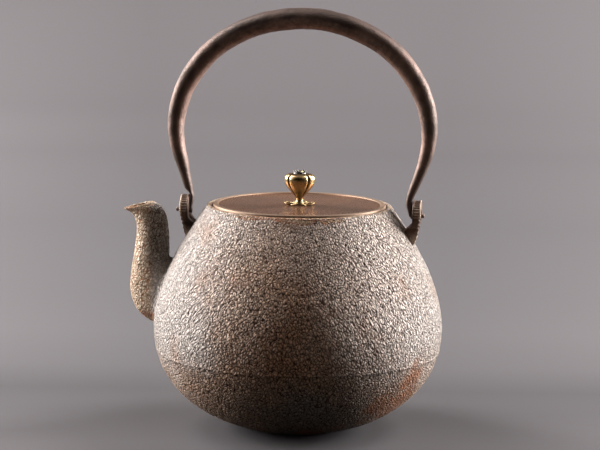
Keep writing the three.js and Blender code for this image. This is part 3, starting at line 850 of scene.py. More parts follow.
@dataclass
class Shell:
    """The cast shell: its wall, its mouth and the hole into the spout."""

    base_radius: float = 26.0
    base_handle: tuple[float, float] = (40.7, 9.4)
    belly_radius: float = 80.3
    belly_height: float = 57.0
    belly_handles: tuple[float, float] = (23.9, 24.8)
    lip: tuple[float, float] = (51.6, 123.6)
    lip_handle: tuple[float, float] = (10.7, 16.1)
    wall: float = 3.2
    land_height: float = 124.4
    recess_radius: float = 48.6
    ledge_height: float = 121.9
    throat_radius: float = 45.0
    throat_end: float = 118.4
    seam_height: float = 43.8
    seam_width: float = 1.6
    seam_stand: float = 0.25
    inner_end: float = 2.0  # how far under the throat the inner wall's line ends
    base_rings: tuple[float, float] = (8.0, 20.0)
    floor_rings: tuple[float, float] = (8.0, 18.0)
    around: int = 416
    outer_rows: int = 150
    hole_middle: float = 70.5
    hole_half_rows: int = 12
    hole_half_columns: int = 9
    margin_rows: int = 14  # fine rows of the inner wall past the hole's block
    coarse_rows: tuple[int, int] = (12, 6)  # rows of the inner wall below and above those
    rust_patches: tuple = (  # x, y, z, size and strength
        (54.0, -36.0, 20.0, 17.0, 0.8), (66.0, -36.0, 40.0, 13.0, 0.3),
        (22.0, -66.0, 36.0, 11.0, 0.2), (-22.0, -64.0, 92.0, 12.0, 0.28),
        (-44.0, -52.0, 82.0, 9.0, 0.12), (-66.0, -20.0, 30.0, 16.0, 0.3),
        (-60.0, 12.0, 18.0, 15.0, 0.45), (30.0, 58.0, 84.0, 16.0, 0.3), (8.0, 72.0, 36.0, 15.0, 0.35),
        (12.0, -40.0, 6.0, 20.0, 0.4), (4.0, -52.0, 121.0, 9.0, 0.25),
    )

    def __post_init__(self) -> None:
        """Works out the shell's lines once."""
        base, belly = (self.base_radius, 0.0), (self.belly_radius, self.belly_height)
        lower = bezier(base, (base[0] + self.base_handle[0], self.base_handle[1]),
                       (belly[0], belly[1] - self.belly_handles[0]), belly, 400)
        upper = bezier(belly, (belly[0], belly[1] + self.belly_handles[1]),
                       (self.lip[0] + self.lip_handle[0], self.lip[1] - self.lip_handle[1]),
                       self.lip, 400)
        self.outer = np.vstack([lower, upper[1:]])
        self.inner = self.outer - side_normals(self.outer) * self.wall

    def radius(self, height: Array) -> Array:
        """The outside radius at a height, read off the outer line."""
        return np.interp(height, self.outer[:, 1], self.outer[:, 0])

    def inner_radius(self, height: Array) -> Array:
        """The inside radius at a height, read off the inner line."""
        return np.interp(height, self.inner[:, 1], self.inner[:, 0])

    def relief(self, points: Array) -> Array:
        """How far the casting's surface stands out at each point, in millimetres.

        Broad unevenness, folds a few millimetres across that wander, and the low ridge
        that the mould's joint left at one height.

        Args:
            points: Places on the surface, (..., 3).

        Returns:
            The heights, (...).
        """
        broad = 0.25 * lattice_noise(points, 31.0, 3) + 0.14 * lattice_noise(points, 11.0, 5)
        led = wandering(points, 7.0, 2.0, 11)
        folds = 0.5 - np.abs(lattice_noise(led, 5.2, 17)) * 1.6
        seam = self.seam_stand * bell(points[..., 2], self.seam_height, self.seam_width)
        return broad + 0.14 * folds + 0.09 * lattice_noise(led, 3.6, 23) + seam

    def rust(self, points: Array) -> Array:
        """How rusty the skin is: soft round patches, broken up by two sizes of noise.

        Args:
            points: Places on the surface, (..., 3).

        Returns:
            Shares of rust up to 0.6, (...).
        """
        total = np.zeros(points.shape[:-1])
        for x, y, z, size, strength in self.rust_patches:
            way = (points - np.array([x, y, z])) / size
            total = total + strength * np.exp(-(way**2).sum(-1))
        ragged = 0.75 + 0.6 * lattice_noise(points, 9.0, 37) + 0.5 * lattice_noise(points, 3.5, 39)
        return np.clip(total * ragged, 0.0, 0.6)

    def _pierced(self, line: Array, places: Array, middle: int, angles: Array) -> Array:
        """The grid of a wall, drawn to a round hole about one of its points.

        In grid steps from the middle, a square block is left out. A point whose larger
        step is m and whose distance is e moves to m / e of its distance at the block's
        edge, which makes the edge round, and less and less out to twice the block.

        Args:
            line: The wall's line.
            places: Running lengths of the rows.
            middle: The row of the hole's middle.
            angles: The columns' angles, with the hole's middle at half a turn.

        Returns:
            The points, (rows, columns, 3).
        """
        rows, columns = np.meshgrid(
            (np.arange(len(places)) - middle) / self.hole_half_rows,
            (np.arange(len(angles)) - len(angles) // 2) / self.hole_half_columns,
            indexing="ij",
        )
        larger = np.maximum(np.abs(rows), np.abs(columns))
        distance = np.maximum(np.hypot(rows, columns), 1e-9)
        share = 1.0 - ease(larger, 1.0, 2.2)
        pull = 1.0 - share * (1.0 - larger / distance)
        row_step = places[middle + 1] - places[middle]
        run = places[:, None] + rows * (pull - 1.0) * self.hole_half_rows * row_step
        turn = angles[1] - angles[0]
        angle = angles[None, :] + columns * (pull - 1.0) * self.hole_half_columns * turn
        flat = along(line, run)
        return placed(flat[..., 0] * np.cos(angle), flat[..., 0] * np.sin(angle), flat[..., 1])

    def _block(self, numbers: Array, middle: int) -> tuple[Array, Array]:
        """A wall's quads without those of the hole's block, and the points round it.

        Args:
            numbers: The wall's point numbers.
            middle: The row of the hole's middle.

        Returns:
            The quads, (n, 4), and the rim's point numbers in order.
        """
        column = self.around // 2
        low, high = middle - self.hole_half_rows, middle + self.hole_half_rows
        left, right = column - self.hole_half_columns, column + self.hole_half_columns
        quads = quads_of(numbers, around=True)
        keep = np.ones(quads.shape[:2], bool)
        keep[low:high, left:right] = False
        rim = [numbers[low, left:right], numbers[low:high, right],
               numbers[high, right:left:-1], numbers[high:low:-1, left]]
        return quads[keep], np.concatenate(rim)

    def _outside(self, places: Array, middle: int, angles: Array) -> tuple[Array, Array]:
        """The outer wall with its relief, and its rust and worn lip as marks.

        Args:
            places: Running lengths of the rows.
            middle: The row of the hole's middle.
            angles: The columns' angles.

        Returns:
            The points and their marks.
        """
        wall = self._pierced(self.outer, places, middle, angles)
        slope = along(np.hstack([self.outer, side_normals(self.outer)]), places)[:, 2:]
        fade = ease(wall[..., 2], 0.3, 4.0) * (1.0 - 0.6 * ease(wall[..., 2], 119, 123.5))
        wall = wall + turned(slope, angles) * (self.relief(wall) * fade)[..., None]
        patchy = lattice_noise(wall, 6.0, 41) + 0.6 * lattice_noise(wall, 2.4, 42)
        front = bell(wall[..., 0], 4.0, 26.0)
        edge = ease(wall[..., 2] + (0.5 + 0.9 * front) * patchy + 0.6 * front, 122.5, 123.3)
        mark = np.maximum(edge * (0.75 + 0.4 * patchy), self.rust(wall))
        return wall, np.clip(mark, 0.0, 1.0)

    def _mouth(self, angles: Array) -> tuple[Array, Array]:
        """The uneven land, the lid's recess, the ledge and the throat, with a worn land.

        Args:
            angles: The columns' angles.

        Returns:
            The points and their marks.
        """
        land, ledge = self.land_height, self.ledge_height
        recess, throat = self.recess_radius, self.throat_radius
        line = np.array([
            (self.lip[0] - 0.2, self.lip[1] + 0.45), (self.lip[0] - 0.6, land - 0.06),
            (self.lip[0] - 1.2, land), (recess + 0.5, land), (recess + 0.12, land - 0.12),
            (recess, land - 0.5), (recess, ledge + 0.3), (recess - 0.3, ledge),
            (throat + 0.5, ledge), (throat, ledge - 0.5), (throat, self.throat_end + 0.5),
        ])
        points = turned(line, angles)
        on_land = (line[:, 1] > land - 0.2)[:, None]
        points[..., 2] += 0.12 * lattice_noise(points, 6.0, 43) * on_land
        return points, on_land * np.clip(0.8 + 0.7 * lattice_noise(points, 3.2, 45), 0.2, 1.0)

    def build(self, material: bpy.types.Material) -> None:
        """Makes the shell: outer wall, mouth, inner wall and the hole between them.

        Args:
            material: The finish.
        """
        skin = Skin("shell_skin")
        angles = full_turn(self.around)
        lengths = arc_lengths(self.outer)
        places = np.linspace(0.0, lengths[-1], self.outer_rows)
        middle = np.argmin(np.abs(places - np.interp(self.hole_middle, self.outer[:, 1], lengths)))
        outer = skin.add_points(*self._outside(places, middle, angles))
        mouth = skin.add_points(*self._mouth(angles))

        line = self.inner[self.inner[:, 1] < self.throat_end - self.inner_end]
        lengths = arc_lengths(line)
        target, step = np.interp(self.hole_middle, line[:, 1], lengths), places[1] - places[0]
        fine = self.hole_half_rows + self.margin_rows
        below = np.linspace(0.0, target - fine * step, self.coarse_rows[0])[:-1]
        above = np.linspace(target + fine * step, lengths[-1], self.coarse_rows[1])[1:]
        near = target + np.arange(-fine, fine + 1) * step
        inner_places = np.concatenate([below, near, above])
        inner_middle = len(below) + fine
        inner = skin.add_points(self._pierced(line, inner_places, inner_middle, angles))

        outer_quads, outer_rim = self._block(outer, middle)
        inner_quads, inner_rim = self._block(inner, inner_middle)
        skin.add_quads(outer_quads)
        skin.add_quads(quads_of(np.vstack([outer[-1:], mouth, inner[-1:]]), around=True))
        skin.add_quads(inner_quads[:, ::-1])
        skin.add_quads(quads_of(np.vstack([inner_rim, outer_rim]), around=True))
        for edge, radii, height, way in ((outer[:1], self.base_rings, 0.0, 1),
                                         (inner[:1], self.floor_rings, line[0, 1], -1)):
            rings = skin.add_points(turned(np.array([(r, height) for r in radii]), angles))
            skin.add_quads(quads_of(np.vstack([rings, edge])[::way], around=True))
            skin.add_fan(rings[0][::-way], np.array([0.0, 0.0, height]))
        dress(skin, material, "kettle_shell", "kettle")


@dataclass
class Spout:
    """The spout: a swelling root that flows into the shell, a neck and a beak."""

    shell: Shell
    outer_edge: tuple = (
        (-77.0, 55.5), (-84.2, 57.4), (-91.4, 63.9), (-94.9, 74.6), (-94.4, 84.5),
        (-92.6, 96.5), (-91.4, 106.6), (-91.8, 113.2), (-94.4, 117.4), (-98.6, 119.7),
    )
    inner_edge: tuple = (
        (-60.0, 76.0), (-63.5, 82.0), (-66.5, 87.0), (-70.2, 90.6), (-72.9, 93.4),
        (-73.1, 99.9), (-73.4, 108.2), (-74.8, 116.6), (-77.8, 121.8), (-81.8, 124.1),
    )
    half_widths: tuple = (13.0, 13.2, 12.6, 11.3, 10.1, 9.0, 8.2, 7.8, 7.5, 6.9)
    wall: float = 2.6
    lip_wall: float = 1.5
    fillet: float = 3.2
    foot_reach: float = 1.15  # the foot's distance from the cut, in fillets
    foot_depth: float = 0.35
    lip_bulge: float = 0.7
    relief_share: float = 0.75
    around: int = 96
    rows: int = 120
    bore_rows: int = 90
    cut_samples: int = 700

    def _tube(self, places: Array, angles: Array, thinner: Array) -> Array:
        """Sections across the spout.

        A section is an ellipse: half the line between both edges times the cosine, and
        the half width along Y times the sine, each less the wall.

        Args:
            places: Station numbers, (rows,).
            angles: Angles round the section, (columns,).
            thinner: How much comes off all round, (rows,).

        Returns:
            The points, (rows, columns, 3).
        """
        stations = np.column_stack([self.outer_edge, self.inner_edge, self.half_widths])
        data = smoothed_spline(stations, places)
        out, back, half = data[:, :2], data[:, 2:4], data[:, 4]
        middle, across = (out + back) / 2, (back - out) / 2
        length = np.linalg.norm(across, axis=1)
        across = across * ((length - thinner) / length)[:, None]
        flat = middle[:, None] + across[:, None] * np.cos(angles)[None, :, None]
        return placed(flat[..., 0], (half - thinner)[:, None] * np.sin(angles), flat[..., 1])

    def _outside(self, angles: Array) -> Array:
        """The outer skin from its root on the shell to the mouth.

        Each line along the tube is cut where it leaves the shell. A quadratic curve leads
        from a point a fillet further up, over that cut, to a foot on the shell.

        Args:
            angles: Angles round the sections.

        Returns:
            The points, (rows, columns, 3).
        """
        dense = np.linspace(0.0, len(self.outer_edge) - 1, self.cut_samples)
        tube = self._tube(dense, angles, np.zeros_like(dense))
        under = np.hypot(tube[..., 0], tube[..., 1]) - self.shell.radius(tube[..., 2]) < 0.0
        cut = len(dense) - 1 - np.argmax(under[::-1], axis=0)
        columns = np.arange(len(angles))
        meet = tube[cut, columns]
        run = np.linalg.norm(np.diff(tube, axis=0), axis=2)
        run = np.vstack([np.zeros((1, len(angles))), np.cumsum(run, axis=0)])
        start = run[cut, columns] + self.fillet
        wanted = start + np.linspace(0.0, 1.0, self.rows)[:, None] * (run[-1] - start)
        wall = np.stack([
            placed(*(np.interp(wanted[:, j], run[:, j], tube[:, j, k]) for k in range(3)))
            for j in columns
        ], 1)
        radius = self.shell.radius(meet[:, 2])
        slope = self.shell.radius(meet[:, 2] + 0.5) - self.shell.radius(meet[:, 2] - 0.5)
        normal = unit(placed(meet[:, 0] / radius, meet[:, 1] / radius, -slope))
        away = meet - tube[cut].mean(1)
        away = unit(away - (away * normal).sum(1, keepdims=True) * normal)
        foot = meet + away * self.fillet * self.foot_reach
        sunk = self.shell.radius(foot[:, 2]) - self.foot_depth
        foot[:, :2] *= (sunk / np.hypot(foot[:, 0], foot[:, 1]))[:, None]
        t = np.linspace(0.0, 1.0, 9)[:, None, None]
        flare = (1 - t) ** 2 * foot + 2 * t * (1 - t) * meet + t * t * wall[0]
        return np.concatenate([flare[:-1], wall])

    def _bore(self, angles: Array) -> Array:
        """The bore from the mouth down to where each of its lines enters the shell.

        Args:
            angles: Angles round the sections.

        Returns:
            The points, (rows, columns, 3).
        """
        last = len(self.outer_edge) - 1
        places = np.linspace(last, 0.2, self.bore_rows)
        thin = self.lip_wall + (self.wall - self.lip_wall) * ease(last - places, 0.0, 2.0)
        bore = self._tube(places, angles, thin)
        clear = np.hypot(bore[..., 0], bore[..., 1]) - self.shell.inner_radius(bore[..., 2])
        beyond = np.argmax(clear < 0.2, axis=0)
        end = bore[beyond, np.arange(len(angles))]
        passed = np.arange(len(places))[:, None] >= beyond
        return np.where(passed[..., None], end, bore)[:beyond.max() + 1]

    def _mark(self, points: Array, outside: int, lip: int) -> Array:
        """The worn rim, the rust low on the root and the shade behind, as one mark.

        Args:
            points: The whole skin.
            outside: How many of its rows lie outside.
            lip: How many rows after them are worn all over.

        Returns:
            The marks.
        """
        rows = np.arange(len(points))[:, None]
        mark = np.where(rows < outside, ease(rows, outside - 9, outside - 1), 0.0)
        mark = np.where((rows >= outside) & (rows < outside + lip), 0.9, mark)
        mark = mark * (0.6 + 0.5 * lattice_noise(points, 4.0, 51))
        low = fall(points[..., 2], 59.0, 66.0) * (rows < outside)
        shade = 0.85 * ease(points[..., 0], -88.0, -80.0) * ease(points[..., 2], 80.0, 100.0)
        return np.clip(mark + 0.8 * low, 0.0, 1.0) - shade * (mark < 0.1)

    def build(self, material: bpy.types.Material) -> None:
        """Makes the spout as one closed ring of skin: outside, lip, bore and hidden end.

        Args:
            material: The finish.
        """
        angles = full_turn(self.around)
        outside, bore = self._outside(angles), self._bore(angles)
        count = len(outside)
        t = np.linspace(0.0, 1.0, 7)[1:-1, None, None]
        lip = outside[-1] * (1 - t) + bore[0] * t
        lip = lip + np.sin(math.pi * t) * self.lip_bulge * unit(outside[-1] - outside[-3])
        back = outside[0] * 0.5 + bore[-1] * 0.5
        points = np.concatenate([outside, lip, bore, back[None]])
        turn = np.roll(points, -1, axis=1) - np.roll(points, 1, axis=1)
        normal = unit(np.cross(turn, np.gradient(points, axis=0)))
        away = points[:count] - points[:count].mean(1, keepdims=True)
        way_out = np.sign((normal[:count] * away).sum())
        rows = np.arange(len(points))[:, None]
        fade = ease(rows, 5, 16) * (rows < count)
        relief = way_out * self.relief_share * self.shell.relief(points) * fade
        points = points + normal * relief[..., None]
        skin = Skin("spout_skin")
        skin.add_ring(points, self._mark(points, count, len(lip) + 4))
        dress(skin, material, "spout", "kettle")


@dataclass
class Ear:
    """One upright ear: a ribbed round head with the peg's hole, on a foot that flares in."""

    side: Side
    shift: float = 0.9
    axis_height: float = 120.4
    inner_face: float = 62.35
    thickness: float = 4.7
    lean: float = 3.5
    lean_drop: float = 15.0
    head_radius: float = 8.6
    foot_half_width: float = 5.2
    foot_height: float = 101.0
    foot_reach: float = 21.0
    hole_radius: float = 2.35
    rib_count: int = 17
    rib_depth: float = 0.5
    scallop_depth: float = 0.26
    scallop_length: float = 2.5
    lower_inset: float = 0.3
    grit: float = 0.08
    columns: int = 420

    def _outline(self, angles: Array) -> Array:
        """The rim's distance from the peg in each direction.

        The head is a circle. Below it the sides run straight to the foot's corners, and
        the rim is whichever of circle and foot reaches further in that direction.

        Args:
            angles: The directions.

        Returns:
            The distances.
        """
        sin, cos = np.sin(angles), np.maximum(np.abs(np.cos(angles)), 1e-6)
        foot = (self.axis_height - self.foot_height) / np.maximum(-sin, 1e-6)
        beside = cos * foot >= self.foot_half_width
        foot = np.where((sin < -0.3) & ~beside, foot, 0.0)
        flank = np.where((sin < -0.5) & beside, self.foot_half_width / cos, 0.0)
        return np.maximum(np.maximum(self.head_radius, foot), np.minimum(flank, self.foot_reach))

    def _outer_face(self, height: Array) -> Array:
        """The outer face's distance from the middle, a curve that leans in downwards.

        Args:
            height: Heights over the floor.

        Returns:
            The distances.
        """
        face = self.inner_face + self.thickness
        corners = [(self.axis_height - drop * self.lean_drop, face - lean * self.lean)
                   for drop, lean in ((1.0, 1.0), (0.75, 0.45), (0.4, 0.35), (0.0, 0.0))]
        foot = [[self.foot_height, face - 1.6 * self.lean]]
        line = np.vstack([foot, bezier(*corners, 60), [[self.axis_height + 20.0, face]]])
        return np.interp(height, line[:, 0], line[:, 1])

    def _inner_face(self, height: Array) -> Array:
        """The inner face's distance from the middle: upright, then in to the shoulder.

        Args:
            height: Heights over the floor.

        Returns:
            The distances.
        """
        drops = np.array([-40.0, -8.4, -6.8, -5.8, -4.8, -3.9, -2.9, 20.0]) + self.axis_height
        ins = np.array([-4.8, -4.8, -3.1, -1.9, -0.85, -0.2, 0.0, 0.0]) + self.inner_face
        return np.interp(height, drops, ins)

    def build(self, material: bpy.types.Material) -> None:
        """Makes the ear as one ring of skin about its hole.

        In each direction from the peg a rounded strip runs from the hole over the outer
        face, across the rim and back over the inner face. Grooves cross the rim's upper
        part and stop short of its edges, and its lower part is scalloped.

        Args:
            material: The finish.
        """
        angles = full_turn(self.columns)
        sin, cos = np.sin(angles), np.cos(angles)
        corners = rounded([(0.0, 0.0, 0.3), (0.0, 1.0, 0.3), (1.0, 1.0, 0.1), (1.0, 0.0, 0.1)], 5)
        extra = np.linspace(0.1, 0.92, 14)
        out_face = np.stack([extra, np.ones(14)], 1)
        rim_face = np.stack([np.ones(9), np.linspace(0.86, 0.14, 9)], 1)
        in_face = np.stack([extra[::-1], np.zeros(14)], 1)
        strip = np.vstack([corners[5:10], out_face, corners[10:15], rim_face, corners[15:], in_face,
                           corners[:5]])
        u, v = strip[:, 0, None], strip[:, 1, None]
        radius = self.hole_radius + u * (self._outline(angles) - self.hole_radius)
        upper = ease(sin, -0.12, 0.06)
        wave = 0.5 - 0.5 * np.cos(angles * self.rib_count * 2)
        band = ease(v, 0.1, 0.24) * (1.0 - ease(v, 0.76, 0.9)) * ease(u, 0.9, 0.98)
        radius = radius - self.rib_depth * band * upper * (0.35 + 0.65 * wave)
        radius = radius - self.lower_inset * (1.0 - upper) * band
        z = self.axis_height + radius * sin
        inside, outside = self._inner_face(z), self._outer_face(z)
        scallop = self.scallop_depth * np.sin(z * 2 * math.pi / self.scallop_length)
        scallop = scallop * (v > 0.6) * ease(u, 0.5, 0.95)
        x = inside + v * (outside - inside) + scallop * (1.0 - upper)
        points = placed(self.side.value * x + self.shift, radius * cos, z)
        points[..., 0] += self.grit * lattice_noise(points, 1.7, 61)
        # Painted highlight: the rim's outer edge is made paler.
        edge = ease(u, 0.9, 0.98) * (1.0 - band) * (0.35 + 0.65 * upper) * ease(v, 0.3, 0.8)
        crest = ease(u, 0.9, 0.98) * band * upper * (1.0 - wave) ** 0.7 * 0.5
        crest = crest * (1.0 - 0.7 * ease(sin, 0.55, 0.95))
        # Painted light: the foot is made pale.
        foot = 0.85 * fall(z, 106.5, 112.5)
        skin = Skin(f"{self.side.name.lower()}_side_ear_skin")
        skin.add_ring(points, np.clip(np.maximum(edge, crest) + foot, 0, 1))
        node = "spout_side_ear" if self.side is Side.SPOUT else "far_ear"
        dress(skin, material, node, "kettle")


@dataclass
class Bail:
    """The forged bow with its two pegs. Heights are counted from its own axis."""

    shift: float = 0.9
    axis_height: float = 120.4
    ear_inner_face: float = 62.35
    ear_thickness: float = 4.7
    rise: float = 107.5
    spread: float = 8.05
    spread_rise: float = 45.6
    arch_handles: tuple[float, float] = (43.0, 31.0)
    leg_handles: tuple[float, float] = (15.5, 9.0)
    foot_lean: float = 2.1
    foot_rise: float = 8.2
    heel_drop: float = 0.8
    outer_gap: float = 0.35
    half_thickness: tuple[float, float, float, float] = (5.85, 4.45, 1.9, 0.85)
    half_width: tuple[float, float, float, float] = (7.8, 6.2, 2.9, 2.2)
    peg_radius: float = 1.9
    peg_root: float = 1.45
    peg_tip_radius: float = 1.2
    peg_tip_reach: tuple[float, float] = (3.1, 1.7)
    left_leg_out: tuple = (
        (120.0, 0.9), (129.0, 0.9), (131.5, 1.35), (134.0, 1.65), (138.6, 1.1), (143.0, 0.5),
        (148.0, 0.0),
    )
    left_thinning: float = 0.48
    level_from: float = 6.0  # height over the axis where the heel's sections turn level
    section_power: float = 0.85
    around: int = 48
    half_steps: int = 230
    peg_around: int = 28

    def _half(self) -> tuple[Array, Array, Array]:
        """Half of the bow, from the apex to the heel on the +X side.

        The arch and the leg are cubic curves. The heel keeps its outer face beside the ear
        and thins towards it.

        Returns:
            The centreline (n, 2) as x and z, and the half thickness and half width.
        """
        reach = self.ear_inner_face + self.spread
        high = self.axis_height + self.spread_rise
        apex = self.axis_height + self.rise
        face = self.ear_inner_face - self.outer_gap
        leg_x = face - self.half_thickness[2]
        foot = self.axis_height + self.foot_rise
        arch = bezier((0.0, apex), (self.arch_handles[0], apex),
                      (reach, high + self.arch_handles[1]), (reach, high), 400)
        leg = bezier((reach, high), (reach, high - self.leg_handles[0]),
                     (leg_x + self.foot_lean, foot + self.leg_handles[1]), (leg_x, foot), 200)
        on_arch, on_leg, on_heel = (np.linspace(0.0, 1.0, n) for n in (400, 200, 80))
        thinned = np.maximum(0.0, on_heel - 0.25) / 0.75
        top, middle, low, end = self.half_thickness
        thick = np.concatenate([
            top + (middle - top) * on_arch**3,
            (middle + (low - middle) * on_leg)[1:],
            (low + (end - low) * thinned)[1:],
        ])
        top, middle, low, end = self.half_width
        wide = np.concatenate([
            top + (middle - top) * ease(on_arch, 0.0, 1.0),
            (middle + (low - middle) * on_leg)[1:],
            (low + (end - low) * on_heel)[1:],
        ])
        heel_z = foot - on_heel[1:] * (self.foot_rise + self.heel_drop)
        heel = np.stack([face - thick[-79:], heel_z], 1)
        line = np.vstack([arch, leg[1:], heel])
        data = resampled(np.hstack([line, thick[:, None], wide[:, None]]), self.half_steps)
        return data[:, :2], data[:, 2], data[:, 3]

    def _surface(self, points: Array) -> Array:
        """How far the forged surface stands out: hammer marks, fine wander and pits.

        Args:
            points: Places on the surface, (..., 3).

        Returns:
            The heights, (...).
        """
        marks = 0.30 * lattice_noise(points, 12.0, 71) + 0.10 * lattice_noise(points, 4.5, 73)
        pits = -0.5 * ease(lattice_noise(points, 3.4, 79), 0.5, 0.85)
        return marks + pits * ease(lattice_noise(points, 19.0, 81), -0.1, 0.4)

    def _whole(self) -> tuple[Array, Array, Array, Array]:
        """The whole bow, with its crooked left leg.

        Returns:
            The centreline and its outward normals, both (n, 2), and the half thickness and
            half width.
        """
        line, thick, wide = self._half()
        full = np.vstack([line[::-1] * np.array([-1, 1]), line[1:]])
        thick = np.concatenate([thick[::-1], thick[1:]])
        wide = np.concatenate([wide[::-1], wide[1:]])
        bends = np.array(self.left_leg_out)
        left = full[:, 0] < 0
        full[:, 0] -= left * np.interp(full[:, 1], bends[:, 0], bends[:, 1])
        thick *= 1.0 - self.left_thinning * left * fall(full[:, 1], 129.5, 133.5)
        level_height = self.axis_height + self.level_from
        low = fall(full[:, 1], level_height, level_height + self.foot_rise)
        level = np.stack([np.sign(full[:, 0]), np.zeros(len(full))], 1)
        normal = -side_normals(full) * (1.0 - low)[:, None] + level * low[:, None]
        return full, unit(normal), thick, wide

    def _mark(self, points: Array, out: Array, across: Array) -> Array:
        """How brown, above 0, or how dark, below 0, the iron is.

        Args:
            points: The bow's surface.
            out: How far outwards each point lies in its section, from -1 to 1.
            across: The same towards the back.

        Returns:
            The marks.
        """
        height = points[..., 2]
        band = bell(out, 0.0, 0.4) * fall(height, 190.0, 218.0)
        patchy = 0.85 + 0.5 * lattice_noise(points, 14.0, 87) + 0.35 * lattice_noise(points, 5.0, 89)
        brown = 0.6 * (1.0 - ease(out, 0.0, 0.7)) * (1.0 - 0.85 * band) * patchy
        low = fall(height, 128.0, 152.0)
        crest = 0.8 * ease(height, 208.0, 224.0) * ease(out, -0.2, 0.5)
        stripe = bell(out, 0.1, 0.35) * (across < 0) * (points[..., 0] < 0)
        stripe = stripe * ease(height, 148.0, 172.0) * fall(height, 207.0, 217.0)
        stripe = stripe * (0.8 + 0.6 * lattice_noise(points, 7.0, 91))
        dark = np.maximum(np.maximum(crest, stripe), 0.75 * low)
        return np.clip(np.clip(brown, 0.0, 1.0) * (1.0 - low) - dark, -1.0, 1.0)

    def _pegs(self) -> list[Array]:
        """Rings of points for each peg: its shank in the ear and its thinner tip.

        Returns:
            The spout side's rings and the far side's.
        """
        turn = full_turn(self.peg_around)
        root = self.ear_inner_face - self.peg_root
        face = self.ear_inner_face + self.ear_thickness
        pegs = []
        for side, reach in zip(Side, self.peg_tip_reach):
            line = np.array([
                (root, 0.6), (root + 0.1, self.peg_radius * 0.8), (root + 0.5, self.peg_radius),
                (face - 1.5, self.peg_radius), (face - 0.5, self.peg_radius * 0.8),
                (face, self.peg_tip_radius), (face + reach - 0.5, self.peg_tip_radius),
                (face + reach - 0.15, 0.9), (face + reach, 0.5),
            ])
            out, radius = line[:, 0, None], line[:, 1, None]
            pegs.append(placed(side.value * out + self.shift, radius * np.cos(turn),
                               self.axis_height + radius * np.sin(turn)))
        return pegs

    def build(self, material: bpy.types.Material) -> None:
        """Makes the bow and its pegs.

        The section, a cosine and a sine each raised to a power, is carried along the
        centreline and tapers over the last three steps of each end. Hammer marks and pits
        move its surface outwards from the centreline.

        Args:
            material: The finish.
        """
        full, normal, thick, wide = self._whole()
        angles = full_turn(self.around)
        out, across = (np.sign(wave) * np.abs(wave) ** self.section_power
                       for wave in (np.cos(angles), np.sin(angles)))
        steps = np.arange(len(full))
        from_end = np.minimum(steps, steps[::-1])
        taper = np.sqrt(np.clip(1.0 - (1.0 - np.minimum(from_end / 3.0, 1.0)) ** 2, 0.1, 1.0))
        flat = full[:, None] + (normal * thick[:, None])[:, None] * out[:, None]
        points = placed(flat[..., 0] + self.shift, (wide * taper)[:, None] * across, flat[..., 1])
        middle = placed(full[:, 0] + self.shift, 0.0, full[:, 1])[:, None]
        relief = self._surface(points) * ease(points[..., 2], 130.0, 150.0)
        points = points + unit(points - middle) * relief[..., None]
        skin = Skin("bail_skin")
        skin.add_solid(points, self._mark(points, out, across))
        for peg in self._pegs():
            skin.add_solid(peg)
        dress(skin, material, "bail_handle", "handle")


@dataclass
class Lid:
    """The flat lid: its plate, its collar, the washer and the stem."""

    radius: float = 48.1
    underside: float = 122.2
    plate_top: float = 124.7
    rim_top: float = 125.4
    rim_width: float = 3.3
    hole: float = 1.45
    collar_radius: float = 44.0
    collar_wall: float = 2.0
    collar_depth: float = 9.0
    washer_radius: float = 7.0
    washer_thickness: float = 1.2
    stem_radius: float = 1.2
    stem_top: float = 143.1
    around: int = 240

    def _ring(self, node: str, corners: list, bronze: bpy.types.Material) -> None:
        """Turns a rounded closed line into a piece, worn where it stands above the plate.

        Args:
            node: The CAD node it stands for.
            corners: The line's corners, each (radius, height, rounding).
            bronze: Its finish.
        """
        line = rounded(corners, 5)
        points = turned(line, full_turn(self.around))
        lift = ease(line[:, 1], self.plate_top + 0.05, self.plate_top + 0.3)
        outer = ease(line[:, 0], self.radius - self.rim_width - 0.4, self.radius - 2.6)
        worn = (lift * outer)[:, None] * (0.8 + 0.2 * lattice_noise(points, 3.0, 83))
        skin = Skin(f"{node}_skin")
        skin.add_ring(points, worn)
        dress(skin, bronze, node, "lid")

    def build(self, bronze: bpy.types.Material, brass: bpy.types.Material) -> None:
        """Makes the lid's pieces.

        Args:
            bronze: For the plate, the collar and the washer.
            brass: For the stem.
        """
        rim, under, top = self.radius - self.rim_width, self.underside, self.plate_top
        rings = (12.0, 24.0, 36.0)
        plate = [
            (self.hole, under, 0.15), (self.hole, top, 0.15), *((r, top, 0.2) for r in rings),
            (rim, top, 0.5), (rim + 0.5, self.rim_top, 0.3),
            (self.radius - 0.3, self.rim_top, 0.35), (self.radius, under, 0.5),
            *((r, under, 0.2) for r in rings[::-1]),
        ]
        inner, low = self.collar_radius - self.collar_wall, under - self.collar_depth
        collar = [(inner, low, 0.6), (self.collar_radius, low, 0.6),
                  (self.collar_radius, under, 0.1), (inner, under, 0.1)]
        low = under - self.washer_thickness
        washer = [(self.hole, low, 0.2), (self.washer_radius, low, 0.4),
                  (self.washer_radius, under, 0.1), (self.hole, under, 0.1)]
        for node, corners in (("lid_plate", plate), ("lid_collar", collar), ("lid_washer", washer)):
            self._ring(node, corners, bronze)
        stem = np.array([
            (0.6, low - 1.5), (1.7, low - 1.42), (2.5, low - 1.0), (2.8, low - 0.4),
            (2.75, low), (self.stem_radius, low), (self.stem_radius, self.stem_top),
            (1.9, self.stem_top), (1.7, self.stem_top + 0.45), (0.9, self.stem_top + 0.75),
        ])
        skin = Skin("knob_stem_skin")
        skin.add_solid(turned(stem, full_turn(32)))
        dress(skin, brass, "knob_stem", "lid")


